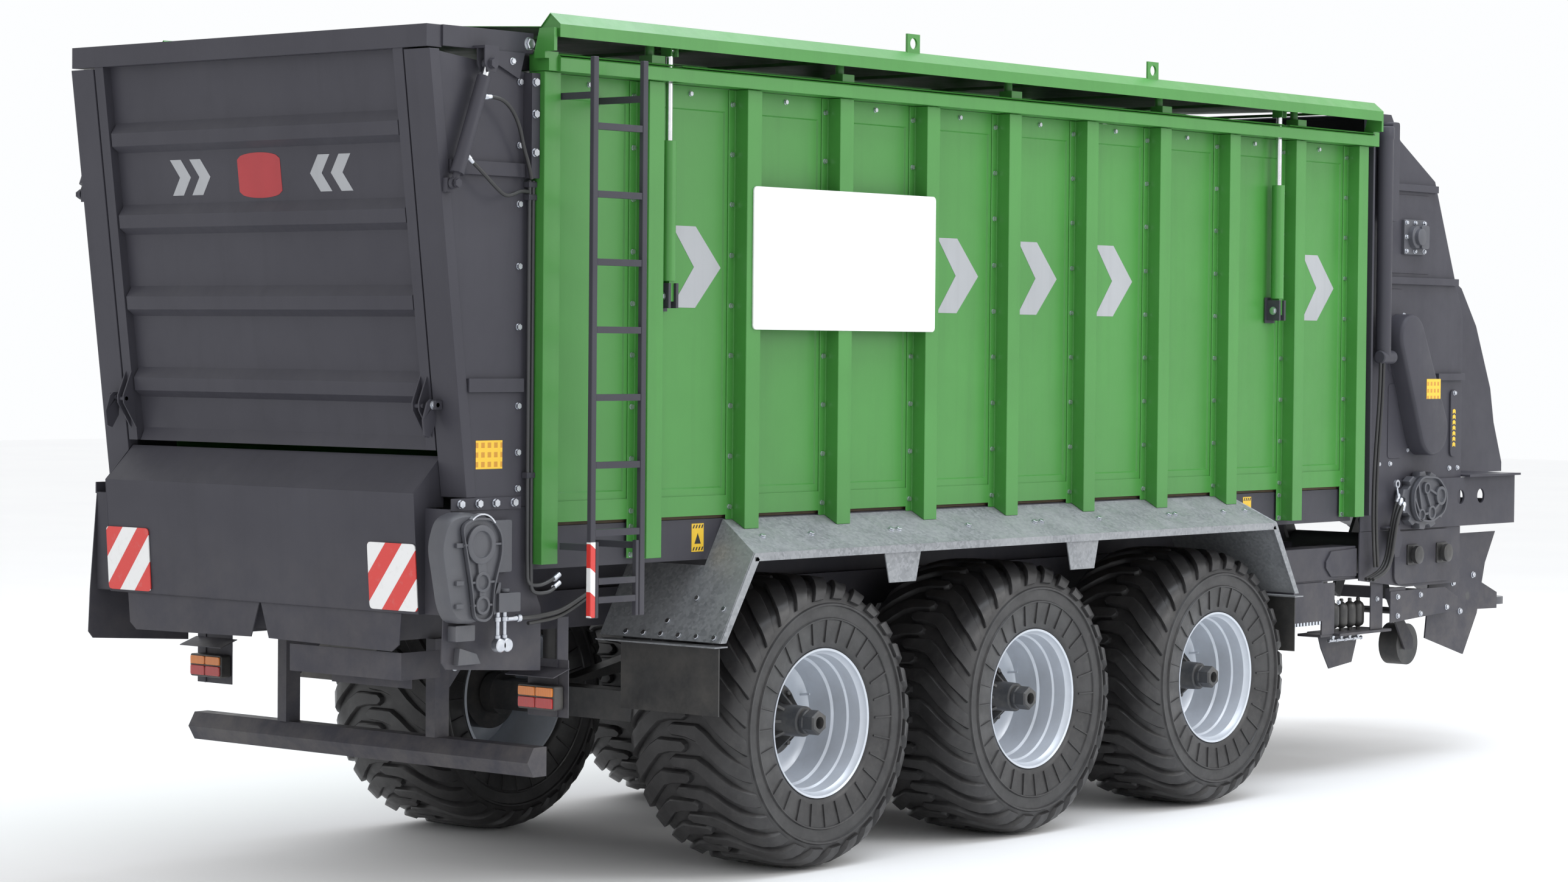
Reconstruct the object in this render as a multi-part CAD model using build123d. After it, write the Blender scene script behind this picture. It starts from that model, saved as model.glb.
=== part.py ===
from build123d import *
import math
import os

# A tridem farm trailer with a bolted box body, two roof covers, a top-hinged tailgate, a scraper
# floor, a pick-up intake unit and a drawbar. Millimetres, +X forward, +Y left, +Z up. Stations (the
# x values below) run forward from the body's rear edge, and heights (the z values) start at a datum
# DATUM_Z above the ground. Every node is shifted by SHIFT_X and DATUM_Z at export, so that the
# origin is on the ground under the middle of the trailer.

# ---- overall ----
REAR_END = -650
FRONT_TIP = 10900
SHIFT_X = -(REAR_END + FRONT_TIP) / 2
DATUM_Z = 50

# ---- box body ----
BAYS = 10
BAY = 691
POST_W = 104
BODY_LEN = BAYS * BAY + POST_W
POST_OUT = 1268
WALL_OUT = 1183
WALL_T = 10
PAN_DEPTH = 7
FLANGE_W = 46
POST_TOP = 3680
END_POST_BOTTOM = 1497
WALL_BOTTOM = 1677
BAND_TOP = 1770
SKIRT_BOTTOM = 1470
RAIL_TOP = 3760
RAIL_OUT = 1305
FLOOR_TOP = 1690
FLOOR_T = 28
FLOOR_REAR = -290
FLOOR_FRONT = 6990
BOLT_Z = (3610, 3375, 3140, 2900, 2663, 2428, 2191, 1953, 1714)

# ---- roof covers and their cylinders ----
COVER_LEN = 7020
COVER_HINGE_Y = 1300
COVER_HINGE_Z = 3850
COVER_PIN_Y = 1235
COVER_PIN_TOP = 3832
COVER_PIN_LOW = 2700
COVER_CYL_X = (860, 6080)

# ---- tailgate ----
GATE_HINGE_X = -30
GATE_HINGE_Z = 3800
LEAN = 0.1255
LEAN_TOP_X = -646
LEAN_TOP_Z = 3751
GATE_HALF = 1030
GATE_BOTTOM = 2005
CHEEK_Y = 1190
LIFT_TOP = (-335, 3692)
LIFT_LOW = (-536, 3165)
LIFT_Y = 1245

# ---- axles and wheels ----
AXLE_X = (1879, 3601, 5323)
AXLE_NAMES = ("rear", "middle", "front")
WHEEL_R = 710
WHEEL_Z = WHEEL_R - DATUM_Z
WHEEL_Y = 1031
TYRE_W = 710
RIM_W = 630
RIM_R = 363
SPINDLE_R = 45
RUNNING = 0.05

# ---- scraper floor drive ----
DRIVE_X = -400
DRIVE_Z = 1602
SPROCKET_R = 82

# ---- drawbar, intake and pick-up ----
FRONT_Y = 1190
DRAWBAR_PIVOT = (8800, 1500)
COUPLING_X = 10790
COUPLING_Z = 745
BALL_R = 40
PICKUP_PIVOT = (8120, 1150)
REEL = (8520, 950)
REEL_R = 230
ROTOR = (7830, 1225)
ROTOR_R = 280
GAUGE_WHEEL = (8440, 630)
GAUGE_R = 130


def block(x, y, z):
    """A box given by its low and high value along each axis."""
    size = (x[1] - x[0], y[1] - y[0], z[1] - z[0])
    centre = ((x[0] + x[1]) / 2, (y[0] + y[1]) / 2, (z[0] + z[1]) / 2)
    return Pos(*centre) * Box(*size)


def plate_xz(points, y0, y1):
    """An outline in the side view, extruded from y0 to y1."""
    face = make_face(Polyline(*[(x, y0, z) for x, z in points], close=True))
    return extrude(face, amount=y1 - y0, dir=(0, 1, 0))


def plate_yz(points, x0, x1):
    """An outline in the end view, extruded from x0 to x1."""
    face = make_face(Polyline(*[(x0, y, z) for y, z in points], close=True))
    return extrude(face, amount=x1 - x0, dir=(1, 0, 0))


def sheet(points, thickness):
    """A flat plate from its corner points in space, as thick as asked along its normal."""
    return extrude(make_face(Polyline(*points, close=True)), amount=thickness)


def bar(start, end, radius):
    """A round bar between two points."""
    axis = Vector(*end) - Vector(*start)
    return Solid.make_cylinder(radius, axis.length, Plane(origin=start, z_dir=axis))


def pipe(start, end, outer, inner):
    """A round tube between two points."""
    return bar(start, end, outer) - bar(start, end, inner)


def hex_bolt(centre, direction, across=30, height=16):
    """A hexagon head standing on a surface, with its washer."""
    plane = Plane(origin=centre, z_dir=direction)
    washer = extrude(plane * Circle(across * 0.62), amount=height * 0.2)
    head = extrude(plane * RegularPolygon(across / 2, 6, major_radius=False), amount=height)
    return washer + head


def lean_x(z, depth=0):
    """Station of the leaning rear frame at a height; depth moves it forward."""
    return LEAN_TOP_X + LEAN * (LEAN_TOP_Z - z) + depth


def left_of(shapes):
    """The left-hand copies of right-hand shapes."""
    return [mirror(shape, about=Plane.XZ) for shape in shapes]


def both(shapes):
    return list(shapes) + left_of(shapes)


def solids_of(shapes):
    return [solid for shape in shapes for solid in shape.solids()]


def post_x(index):
    return index * BAY


# ------------------------------------------------------------------ box body
def fender_z(y_out):
    """Height of the fender's sloping top at a distance from the middle plane."""
    return 1655 - 0.546 * (y_out - WALL_OUT)


def side_wall():
    wall = block((0, BODY_LEN), (-WALL_OUT, -WALL_OUT + WALL_T), (WALL_BOTTOM, POST_TOP))
    for bay in range(BAYS):
        left, right = post_x(bay) + POST_W + 22, post_x(bay + 1) - FLANGE_W - 22
        middle = (left + right) / 2
        pan_plane = Plane(origin=(middle, -WALL_OUT, 2690), x_dir=(1, 0, 0), z_dir=(0, 1, 0))
        pan = extrude(pan_plane * Rectangle(right - left, 1770), amount=PAN_DEPTH, taper=40)
        wall -= pan
        wall += block((post_x(bay) + POST_W, post_x(bay + 1) - FLANGE_W),
                      (-WALL_OUT - 7, -WALL_OUT), (WALL_BOTTOM, BAND_TOP))
    return wall


def side_posts():
    """Upright channels with a bolting flange on their rear side; the middle ones stand on the fender."""
    posts = []
    for index in range(BAYS + 1):
        x = post_x(index)
        on_fender = 2 <= index <= BAYS - 2
        low = 1600 if on_fender else END_POST_BOTTOM
        outer = block((x, x + POST_W), (-POST_OUT, -WALL_OUT), (low, POST_TOP))
        hollow = block((x + 6, x + POST_W - 6), (-POST_OUT + 6, -WALL_OUT), (low, POST_TOP - 6))
        post = outer - hollow
        if index > 0:
            post += block((x - FLANGE_W, x + 1), (-WALL_OUT - 6, -WALL_OUT), (low, POST_TOP))
        if on_fender:
            under = plate_yz([(-POST_OUT - 5, 1500), (-POST_OUT - 5, fender_z(POST_OUT + 5) + 1),
                              (-WALL_OUT + 5, fender_z(WALL_OUT - 5) + 1), (-WALL_OUT + 5, 1500)],
                             x - FLANGE_W - 5, x + POST_W + 5)
            post -= under
        posts.append(post)
    return posts


def post_bolts():
    """The zinc bolts down each post flange, and one near the top of each bay."""
    bolts = []
    for index in range(1, BAYS + 1):
        x = post_x(index) - FLANGE_W / 2
        heights = BOLT_Z if 2 <= index <= BAYS - 2 else BOLT_Z + (1642, 1514)
        bolts += [hex_bolt((x, -WALL_OUT - 6, z), (0, -1, 0), 20, 11) for z in heights]
        middle = post_x(index - 1) + POST_W + (BAY - POST_W - FLANGE_W) / 2
        bolts.append(hex_bolt((middle, -WALL_OUT, 3645), (0, -1, 0), 20, 11))
    return bolts


def top_rail():
    """Rounded box rail on the posts, slotted where a cylinder rod passes, with stops for the cover."""
    section = [(-RAIL_OUT, 3682), (-RAIL_OUT, 3740), (-RAIL_OUT + 20, RAIL_TOP), (-1170, RAIL_TOP),
               (-1170, 3682)]
    rail = plate_yz(section, 62, BODY_LEN + 20)
    rail -= block((68, BODY_LEN + 14), (-RAIL_OUT + 6, -1176), (3688, RAIL_TOP - 8))
    for x in COVER_CYL_X:
        rail -= block((x - 30, x + 30), (-RAIL_OUT + 7, -1190), (3670, RAIL_TOP + 10))
    pieces = [rail]
    for index in (1, 3, 5, 7, 9):
        x = post_x(index) + 20
        pieces.append(block((x, x + 90), (-1262, -1182), (RAIL_TOP, RAIL_TOP + 38)))
        pieces.append(bar((x + 45, -1205, RAIL_TOP + 38), (x + 45, -1205, 3864), 22))
    return pieces


def rail_end_brackets():
    """Corner plates at both ends of the rail; each has an ear with the cover's hinge pin."""
    pieces = []
    rear_end = (2, -24, (-24, 30))
    front_end = (BODY_LEN + 20, COVER_LEN + 6, (COVER_LEN - 26, COVER_LEN + 26))
    for corner_x, ear_x, pin_x in (rear_end, front_end):
        corner = block((corner_x, corner_x + 60), (-1290, -1170), (3682, RAIL_TOP + 6))
        foot_x = (min(corner_x, ear_x), max(corner_x, ear_x) + 20)
        foot = block(foot_x, (-1290, -1225), (3736, RAIL_TOP + 6))
        ear = plate_yz([(-1345, RAIL_TOP + 6), (-1345, 3868), (-1255, 3868), (-1225, RAIL_TOP + 6)],
                       ear_x, ear_x + 20)
        pin = bar((pin_x[0], -COVER_HINGE_Y, COVER_HINGE_Z),
                  (pin_x[1], -COVER_HINGE_Y, COVER_HINGE_Z), 9)
        pieces.append(corner + foot + ear + pin)
    return pieces


def floor_frame():
    """Grey skirts along both sides and the cross bearers under the floor."""
    skirt = block((0, BODY_LEN), (-1172, -1166), (SKIRT_BOTTOM, FLOOR_TOP - 30))
    lip = block((0, BODY_LEN), (-1166, -1120), (SKIRT_BOTTOM, SKIRT_BOTTOM + 6))
    pieces = both([skirt, lip])
    for index in range(BAYS + 1):
        x = post_x(index)
        pieces.append(block((x + 10, x + 26), (-1166, 1166), (1560, FLOOR_TOP - FLOOR_T)))
    return pieces


def body_floor():
    """Tongued planks that run the length of the body."""
    planks = []
    count = 9
    width = 2 * 1166 / count
    for index in range(count):
        y0 = -1166 + index * width
        planks.append(block((FLOOR_REAR, FLOOR_FRONT), (y0 + 1, y0 + width - 1),
                            (FLOOR_TOP - FLOOR_T, FLOOR_TOP)))
    return planks


def chassis():
    """Two long rails with cross tubes, and the hanger brackets of the three axles."""
    front = 7480
    rail = block((-300, front), (-480, -360), (1120, 1300))
    rail -= block((-301, front + 1), (-472, -368), (1130, 1290))
    upper = block((-300, front), (-426, -414), (1300, 1560))
    pieces = both([rail, upper])
    for x in (-250, 960, 2628, 4350, 6150, 7000, 7400):
        pieces.append(block((x, x + 80), (-360, 360), (1140, 1280)))
    return pieces


def suspension():
    """Hanger, trailing arm and pad of each axle side, and its hydraulic suspension cylinder."""
    pieces = []
    pad = WHEEL_Z + 76
    for x in AXLE_X:
        hanger = plate_xz([(x + 560, 1120), (x + 560, 760), (x + 680, 760), (x + 720, 1120)], -470, -370)
        arm = plate_xz([(x - 90, pad + 24), (x + 90, pad + 24), (x + 560, 850), (x + 560, 780),
                        (x + 110, pad), (x - 110, pad)], -470, -370)
        cylinder = bar((x - 20, -420, pad + 24), (x - 20, -420, 1120), 55)
        pieces += both([hanger, arm, cylinder])
    return pieces


# ------------------------------------------------------------------ fenders and flaps
def fender():
    """A sloping top with a turned-down lip, and a plate that slopes down at each end."""
    lip = 1450
    top_out, top_in = fender_z(lip), fender_z(WALL_OUT)
    fall = 0.59
    rear_out, rear_in = 1000 + fall * (top_out - 1100), 1000 + fall * (top_in - 1100)
    front_out, front_in = 6000 - fall * (top_out - 1100), 6000 - fall * (top_in - 1100)
    top = sheet([(rear_in, -WALL_OUT, top_in), (rear_out, -lip, top_out), (front_out, -lip, top_out),
                 (front_in, -WALL_OUT, top_in)], -5)
    edge = block((rear_out, front_out), (-lip - 5, -lip), (1471, top_out))
    pieces = [top, edge]
    for foot, head_out, head_in, sign in ((1000, rear_out, rear_in, 1), (6000, front_out, front_in, -1)):
        waist = foot + sign * fall * (1440 - 1100)
        pieces.append(sheet([(foot, -700, 1100), (foot, -lip, 1100), (head_out, -lip, top_out),
                             (head_in, -WALL_OUT, top_in), (waist, -WALL_OUT, 1440), (waist, -700, 1440)],
                            5))
        turned = plate_xz([(foot, 1100), (head_out, top_out), (head_out + sign * 34, top_out - 30),
                           (foot + sign * 40, 1100)], -lip - 5, -lip)
        pieces.append(turned)
        pieces.append(block((foot - 34, foot + 56), (-lip, -700), (1078, 1084)))
    return pieces


def fender_gussets():
    """Trapezoid brackets between the wheels that carry the fender's outer edge."""
    pieces = []
    for centre in ((AXLE_X[0] + AXLE_X[1]) / 2 - 362, (AXLE_X[1] + AXLE_X[2]) / 2 - 562):
        pieces.append(plate_xz([(centre - 150, 1500), (centre + 150, 1500), (centre + 105, 1325),
                                (centre - 105, 1325)], -1440, -1434))
        pieces.append(block((centre - 60, centre + 60), (-1434, -1172), (1472, 1486)))
    return pieces


def mud_flaps():
    return [block((1004, 1012), (-1440, -830), (760, 1078)), block((6044, 6052), (-1400, -830), (765, 1078))]


# ------------------------------------------------------------------ ladder, plates
def ladder_frame():
    """Fixed ladder on the right-hand side, held off the body by four arms."""
    pieces = []
    for x in (110, 435):
        pieces.append(block((x, x + 32), (-1462, -1438), (1262, 3745)))
        for z in (1560, 3560):
            reach = -1268 if z < 3000 and x < 200 else -WALL_OUT
            pieces.append(block((x + 4, x + 28), (-1438, reach), (z, z + 30)))
    pieces += [block((142, 435), (-1460, -1430), (1655 + 300 * step - 30, 1655 + 300 * step))
               for step in range(7)]
    return pieces


def ladder_step():
    """Lower ladder section that slides down from between the stiles."""
    pieces = [block((x, x + 20), (-1460, -1436), (1262, 1600)) for x in (146, 411)]
    pieces += [block((166, 411), (-1460, -1432), (z - 28, z)) for z in (1438, 1355)]
    return pieces


def sign_plate():
    plane = Plane(origin=(2124, -POST_OUT - 1, 2890), x_dir=(1, 0, 0), z_dir=(0, -1, 0))
    return [extrude(plane * RectangleRounded(1404, 676, 22), amount=8)]


# ------------------------------------------------------------------ rear end
def rear_cheek():
    """Side plate between the body and the leaning frame, with two stiffeners and a bolted lower part."""
    depth = 60
    plate = plate_xz([(lean_x(3745, depth), 3735), (-1, 3670), (-1, 1755), (lean_x(1755, depth), 1755)],
                     -CHEEK_Y, -CHEEK_Y + 6)
    frame_bar = plate_xz([(lean_x(3742), 3742), (lean_x(3742, depth), 3742), (lean_x(1802, depth), 1802),
                          (lean_x(1802), 1802)], -CHEEK_Y - 8, -1040)
    hollow = plate_xz([(lean_x(3736, 8), 3736), (lean_x(3736, depth), 3736), (lean_x(1810, depth), 1810),
                       (lean_x(1810, 8), 1810)], -CHEEK_Y - 2, -1046)
    upright = block((-52, -1), (-CHEEK_Y - 50, -CHEEK_Y), (3206, 3670))
    pieces = [plate, frame_bar - hollow, upright]
    for z in (3210, 2262):
        pieces.append(block((lean_x(z, depth), -56), (-CHEEK_Y - 18, -CHEEK_Y), (z, z + 60)))
    strip = block((-490, -60), (-CHEEK_Y - 8, -CHEEK_Y), (1746, 1800))
    lower = plate_xz([(-490, 1754), (-1, 1754), (-1, 1460), (80, 1300), (80, 1018), (-512, 1058),
                      (-540, 1090), (-530, 1290)], -CHEEK_Y, -CHEEK_Y + 6)
    lower -= bar((DRIVE_X, -CHEEK_Y - 10, DRIVE_Z), (DRIVE_X, -CHEEK_Y + 10, DRIVE_Z), 28 + RUNNING)
    return pieces + [strip, lower]


def cheek_bolts():
    bolts = [hex_bolt((-80, -CHEEK_Y, z), (0, -1, 0), 24, 14)
             for z in (3629, 3350, 3091, 2817, 2549, 2200, 1995, 1835)]
    bolts += [hex_bolt((-34, -CHEEK_Y - 50, z), (0, -1, 0), 30, 16) for z in (3629, 3489, 3319)]
    bolts += [hex_bolt((x, -CHEEK_Y - 8, 1775), (0, -1, 0), 30, 18) for x in (-441, -330, -225, -110)]
    return bolts


def rear_hood():
    """Folded guard over the rear turning shaft of the scraper floor."""
    outside = [(-400, 1980), (-565, 1820), (-530, 1290)]
    inside = [(-524, 1290), (-559, 1817), (-397, 1974)]
    shell = plate_xz(outside + inside, -1030, 1030)
    side = plate_xz([(-400, 1980), (-565, 1820), (-530, 1290), (-490, 1290), (-490, 1754), (-380, 1754),
                     (-380, 1980)], -1036, -1030)
    web = block((-490, -484), (-1184, -1036), (1290, 1754))
    return [shell] + both([side, web])


def rear_underplates():
    """Transverse plates under the hood, and the box below them on the drive side."""
    wing = plate_yz([(-6, 1289), (-60, 1130), (-860, 1118), (-905, 1150), (-920, 1289)], -520, -514)
    skin = block((-500, -494), (-900, -180), (990, 1112))
    under = block((-494, -260), (-900, -180), (990, 996))
    end = block((-494, -260), (-900, -894), (996, 1112))
    lower_tier = block((-400, -394), (-860, -350), (945, 990))
    return both([wing]) + [skin, under, end, lower_tier]


def underrun_guard():
    """Pointed guard beam on two legs that hang from bolted gussets."""
    beam = plate_xz([(47, 600), (87, 667), (170, 667), (170, 534), (87, 534)], -1145, 1145)
    leg = block((72, 162), (-532, -472), (667, 1050))
    gusset = plate_xz([(162, 1120), (400, 1120), (190, 890), (162, 890)], -508, -496)
    hanger = block((72, 162), (-532, -472), (1050, 1120))
    return [beam] + both([leg, gusset, hanger])


def light_parts():
    """Lamp housings with two lenses each above the other, under small sheet roofs."""
    housing = block((130, 190), (-1229, -1000), (835, 945))
    roof = sheet([(90, -1260, 985), (90, -960, 985), (196, -960, 1020), (196, -1260, 1020)], 4)
    bracket = block((196, 202), (-1250, -1000), (800, 1060))
    arm = block((190, 260), (-1190, -1184), (800, 1250))
    return both([housing]), both([roof, bracket, arm])


def light_lenses():
    lenses = []
    for column in (-1221, -1112):
        for low, high in ((843, 890), (896, 937)):
            lenses.append(block((120, 130), (column, column + 104), (low, high)))
    reds = [lens for index, lens in enumerate(lenses) if index % 2 == 0]
    ambers = [lens for index, lens in enumerate(lenses) if index % 2 == 1]
    return both(reds), both(ambers)


def warning_boards():
    """Striped boards on the lower corners of the hood."""
    lean = 35 / 530
    top, bottom = 1600, 1300
    points = [(-560 + lean * (1820 - top) - 6, top), (-560 + lean * (1820 - top) - 12, top),
              (-560 + lean * (1820 - bottom) - 12, bottom), (-560 + lean * (1820 - bottom) - 6, bottom)]
    return both([plate_xz(points, -1040, -735)])


def scraper_gearbox():
    """Ribbed drive casing on the right-hand cheek with the motor block below it."""
    casing = plate_xz([(-635, 1615), (-573, 1730), (-419, 1743), (-289, 1675), (-256, 1601), (-287, 1446),
                       (-324, 1274), (-441, 1257), (-556, 1277), (-600, 1450)], -1290, -CHEEK_Y)
    casing = casing - bar((DRIVE_X, -1240, DRIVE_Z), (DRIVE_X, -1180, DRIVE_Z), 34)
    bosses = [bar((-400, -1290, 1602), (-400, -1312, 1602), 52),
              bar((-400, -1290, 1438), (-400, -1306, 1438), 36),
              bar((-400, -1290, 1338), (-400, -1306, 1338), 32)]
    motor = block((-300, -150), (-1285, -1230), (1310, 1376))
    return [casing] + bosses + [motor]


# ------------------------------------------------------------------ tailgate
def gate_panel():
    """Leaning sheet with hat-section stiffeners across it, inside two side strips."""
    low, high = GATE_BOTTOM, 3750
    inset = 46
    panel = plate_xz([(lean_x(high, inset), high), (lean_x(high, inset + 5), high),
                      (lean_x(low, inset + 5), low), (lean_x(low, inset), low)],
                     -GATE_HALF + 60, GATE_HALF - 60)
    pieces = [panel]
    for z in (3490, 3110, 2730, 2350):
        rib = plate_xz([(lean_x(z, inset), z), (lean_x(z - 50, inset - 40), z - 50),
                        (lean_x(z - 110, inset - 40), z - 110), (lean_x(z - 140, inset), z - 140)],
                       -GATE_HALF + 70, GATE_HALF - 70)
        pieces.append(rib)
    foot = plate_xz([(lean_x(low + 60, inset), low + 60), (lean_x(low, inset - 34), low),
                     (lean_x(low, inset), low)], -GATE_HALF + 70, GATE_HALF - 70)
    strip = plate_xz([(lean_x(high, 2), high), (lean_x(high, inset + 5), high),
                      (lean_x(low, inset + 5), low), (lean_x(low, 2), low)], -GATE_HALF, -GATE_HALF + 60)
    return pieces + [foot] + both([strip])


def gate_frame():
    """Top beam with an arm forward along each side to the hinge, and the cylinder brackets."""
    beam = block((REAR_END, -560), (-1186, 1186), (3750, 3847))
    beam -= block((REAR_END + 6, -566), (-1180, 1180), (3756, 3841))
    arm = block((-560, 0), (-1196, -1172), (3757, 3848))
    gusset = plate_xz([(-265, 3757), (-240, 3700), (-95, 3640), (-60, 3757)], -1204, -1196)
    x, hang = LIFT_TOP[0], LIFT_TOP[1] - 37
    outline = [(x - 44, 3757), (x - 44, hang + 35), (x - 24, hang), (x + 24, hang), (x + 44, hang + 35),
               (x + 44, 3757)]
    bracket_in = plate_xz(outline, -LIFT_Y + 19, -LIFT_Y + 25)
    bracket_out = plate_xz(outline, -LIFT_Y - 25, -LIFT_Y - 19)
    spacer = block((x - 44, x + 44), (-LIFT_Y - 25, -1196), (3757, 3769))
    boss = pipe((GATE_HINGE_X, -1172, GATE_HINGE_Z), (GATE_HINGE_X, -1140, GATE_HINGE_Z), 30, 16.05)
    roof = block((-560, -70), (-1172, 1172), (3838, 3844))
    arm -= bar((GATE_HINGE_X, -1200, GATE_HINGE_Z), (GATE_HINGE_X, -1130, GATE_HINGE_Z), 16.05)
    return [beam, roof] + both([arm, gusset, bracket_in, bracket_out, spacer, boss])


def gate_hinge_pins():
    """Fixed pins that the arms turn on, in lugs of the body's rear frame."""
    pin = bar((GATE_HINGE_X, -1200, GATE_HINGE_Z), (GATE_HINGE_X, -1100, GATE_HINGE_Z), 16)
    lug = plate_xz([(-62, 3830), (2, 3830), (54, 3760), (54, 3690), (-62, 3690)], -1130, -1100)
    return both([pin, lug])


def gate_fins():
    """Pairs of fins with a cross pin, low on the tailgate, for the latch hooks."""
    pieces = []
    for y in (-1015, -975):
        pieces.append(plate_xz([(lean_x(2330, 2), 2330), (lean_x(2200, -62), 2215),
                                (lean_x(2180, -62), 2180), (lean_x(2060, 2), 2060)], y, y + 8))
    pin = bar((lean_x(2200, -44), -1027, 2200), (lean_x(2200, -44), -967, 2200), 10)
    return both(pieces + [pin])


def latch_hook():
    """Hook plate that hangs on a pivot of the leaning frame and holds the tailgate's pin."""
    pivot_x, pivot_z = lean_x(2205, -30), 2205
    plate = plate_xz([(pivot_x - 34, pivot_z + 10), (pivot_x - 16, pivot_z + 24),
                      (pivot_x + 12, pivot_z + 24), (pivot_x + 25, pivot_z + 8), (pivot_x + 18, 2120),
                      (pivot_x - 20, 2062), (pivot_x - 50, 2072), (pivot_x - 60, 2140)], -1070, -1060)
    hole = bar((pivot_x, -1080, pivot_z), (pivot_x, -1050, pivot_z), 10.05)
    return [plate - hole]


def latch_pivots():
    """Pivot bolts of the latch hooks, fixed in the leaning frame."""
    pivot_x, pivot_z = lean_x(2205, -30), 2205
    pin = bar((pivot_x, -1100, pivot_z), (pivot_x, -1050, pivot_z), 10)
    lug = block((pivot_x - 14, pivot_x + 25), (-1100, -1086), (pivot_z - 20, pivot_z + 20))
    return both([pin, lug])


def lift_line(distance):
    """Point on the lift cylinder's axis, measured up from its lower pin."""
    dx, dz = LIFT_TOP[0] - LIFT_LOW[0], LIFT_TOP[1] - LIFT_LOW[1]
    length = math.hypot(dx, dz)
    return LIFT_LOW[0] + dx * distance / length, LIFT_LOW[1] + dz * distance / length


def lift_barrel():
    """Barrel with its lower eye and two hose ports."""
    def point(distance):
        x, z = lift_line(distance)
        return x, -LIFT_Y, z
    eye = bar((LIFT_LOW[0], -LIFT_Y - 9, LIFT_LOW[1]), (LIFT_LOW[0], -LIFT_Y + 9, LIFT_LOW[1]), 26)
    tube = pipe(point(46), point(500), 31, 16.05)
    neck = bar(point(0), point(60), 16) - bar((LIFT_LOW[0], -LIFT_Y - 20, LIFT_LOW[1]),
                                              (LIFT_LOW[0], -LIFT_Y + 20, LIFT_LOW[1]), 12)
    eye -= bar((LIFT_LOW[0], -LIFT_Y - 20, LIFT_LOW[1]), (LIFT_LOW[0], -LIFT_Y + 20, LIFT_LOW[1]), 12.05)
    cap = bar(point(46), point(60), 31)
    return [eye + neck + tube + cap]


def lift_rod():
    def point(distance):
        x, z = lift_line(distance)
        return x, -LIFT_Y, z
    length = math.hypot(LIFT_TOP[0] - LIFT_LOW[0], LIFT_TOP[1] - LIFT_LOW[1])
    rod = bar(point(64), point(length - 10), 16)
    eye = bar((LIFT_TOP[0], -LIFT_Y - 12, LIFT_TOP[1]), (LIFT_TOP[0], -LIFT_Y + 12, LIFT_TOP[1]), 27)
    return [rod + eye]


def lift_lugs():
    """Pins on the cheeks that carry the lower ends of the lift cylinders."""
    pin = bar((LIFT_LOW[0], -CHEEK_Y - 8, LIFT_LOW[1]), (LIFT_LOW[0], -LIFT_Y - 18, LIFT_LOW[1]), 12)
    pad = block((LIFT_LOW[0] - 24, LIFT_LOW[0] + 22), (-LIFT_Y + 17, -CHEEK_Y - 8), (3128, 3188))
    head = hex_bolt((LIFT_LOW[0], -LIFT_Y - 18, LIFT_LOW[1]), (0, -1, 0), 34, 12)
    return both([pin, pad, head])


def lift_bolt_heads():
    """Bolt heads on both faces of the tailgate's cylinder brackets."""
    return both([hex_bolt((LIFT_TOP[0], -LIFT_Y - 25, LIFT_TOP[1]), (0, -1, 0), 40, 20)])


# ------------------------------------------------------------------ roof covers
def roof_cover():
    """Folded edge profile with a roof sheet to the middle, closed by end plates."""
    t = 3
    outer = [(-1360, 3826), (-1360, 3883), (-1297, 3935), (-1240, 3878), (-700, 3905), (-6, 3915)]
    inner = [(y, z - t) for y, z in reversed(outer[3:])]
    under = inner + [(-1297, 3931), (-1357, 3881), (-1357, 3826)]
    skin = plate_yz(outer + under, 0, COVER_LEN)
    end = plate_yz([(-1357, 3830), (-1357, 3881), (-1297, 3931), (-1240, 3875), (-1260, 3830)], 6, 14)
    ends = [end, Pos(COVER_LEN - 20, 0, 0) * end]
    hole = bar((-5, -COVER_HINGE_Y, COVER_HINGE_Z), (COVER_LEN + 5, -COVER_HINGE_Y, COVER_HINGE_Z), 9.05)
    stiffeners = [block((x, x + 40), (-1150, -30), (3858, 3872)) for x in range(300, 7000, 920)]
    return [skin] + [piece - hole for piece in ends] + stiffeners


def cover_brackets():
    """Pairs of plates under the cover that the cylinder rods push on."""
    pieces = []
    for x in COVER_CYL_X:
        for offset in (-26, 18):
            pieces.append(plate_yz([(-1268, 3800), (-1205, 3800), (-1205, 3872), (-1240, 3874),
                                    (-1268, 3900)], x + offset, x + offset + 8))
    return pieces


def cover_lugs():
    """Lifting eyes that stand on the ridge of the cover."""
    pieces = []
    for x in (2600, 4704):
        lug = block((x - 50, x + 50), (-1302, -1290), (3920, 4025))
        lug -= bar((x, -1310, 3978), (x, -1280, 3978), 28)
        pieces.append(lug)
    return pieces


def cover_barrels():
    pieces = []
    for x in COVER_CYL_X:
        tube = pipe((x, -COVER_PIN_Y, 2790), (x, -COVER_PIN_Y, 3415), 36, 17.05)
        base = bar((x, -COVER_PIN_Y, 2770), (x, -COVER_PIN_Y, 2792), 36)
        eye = block((x - 16, x + 16), (-COVER_PIN_Y - 24, -COVER_PIN_Y + 24), (2676, 2770))
        eye -= bar((x - 20, -COVER_PIN_Y, COVER_PIN_LOW), (x + 20, -COVER_PIN_Y, COVER_PIN_LOW), 12.05)
        pieces.append(tube + base + eye)
    return pieces


def cover_rods():
    pieces = []
    for x in COVER_CYL_X:
        rod = bar((x, -COVER_PIN_Y, 2810), (x, -COVER_PIN_Y, COVER_PIN_TOP), 17)
        eye = bar((x - 14, -COVER_PIN_Y, COVER_PIN_TOP), (x + 14, -COVER_PIN_Y, COVER_PIN_TOP), 20)
        pieces.append(rod + eye)
    return pieces


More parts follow.
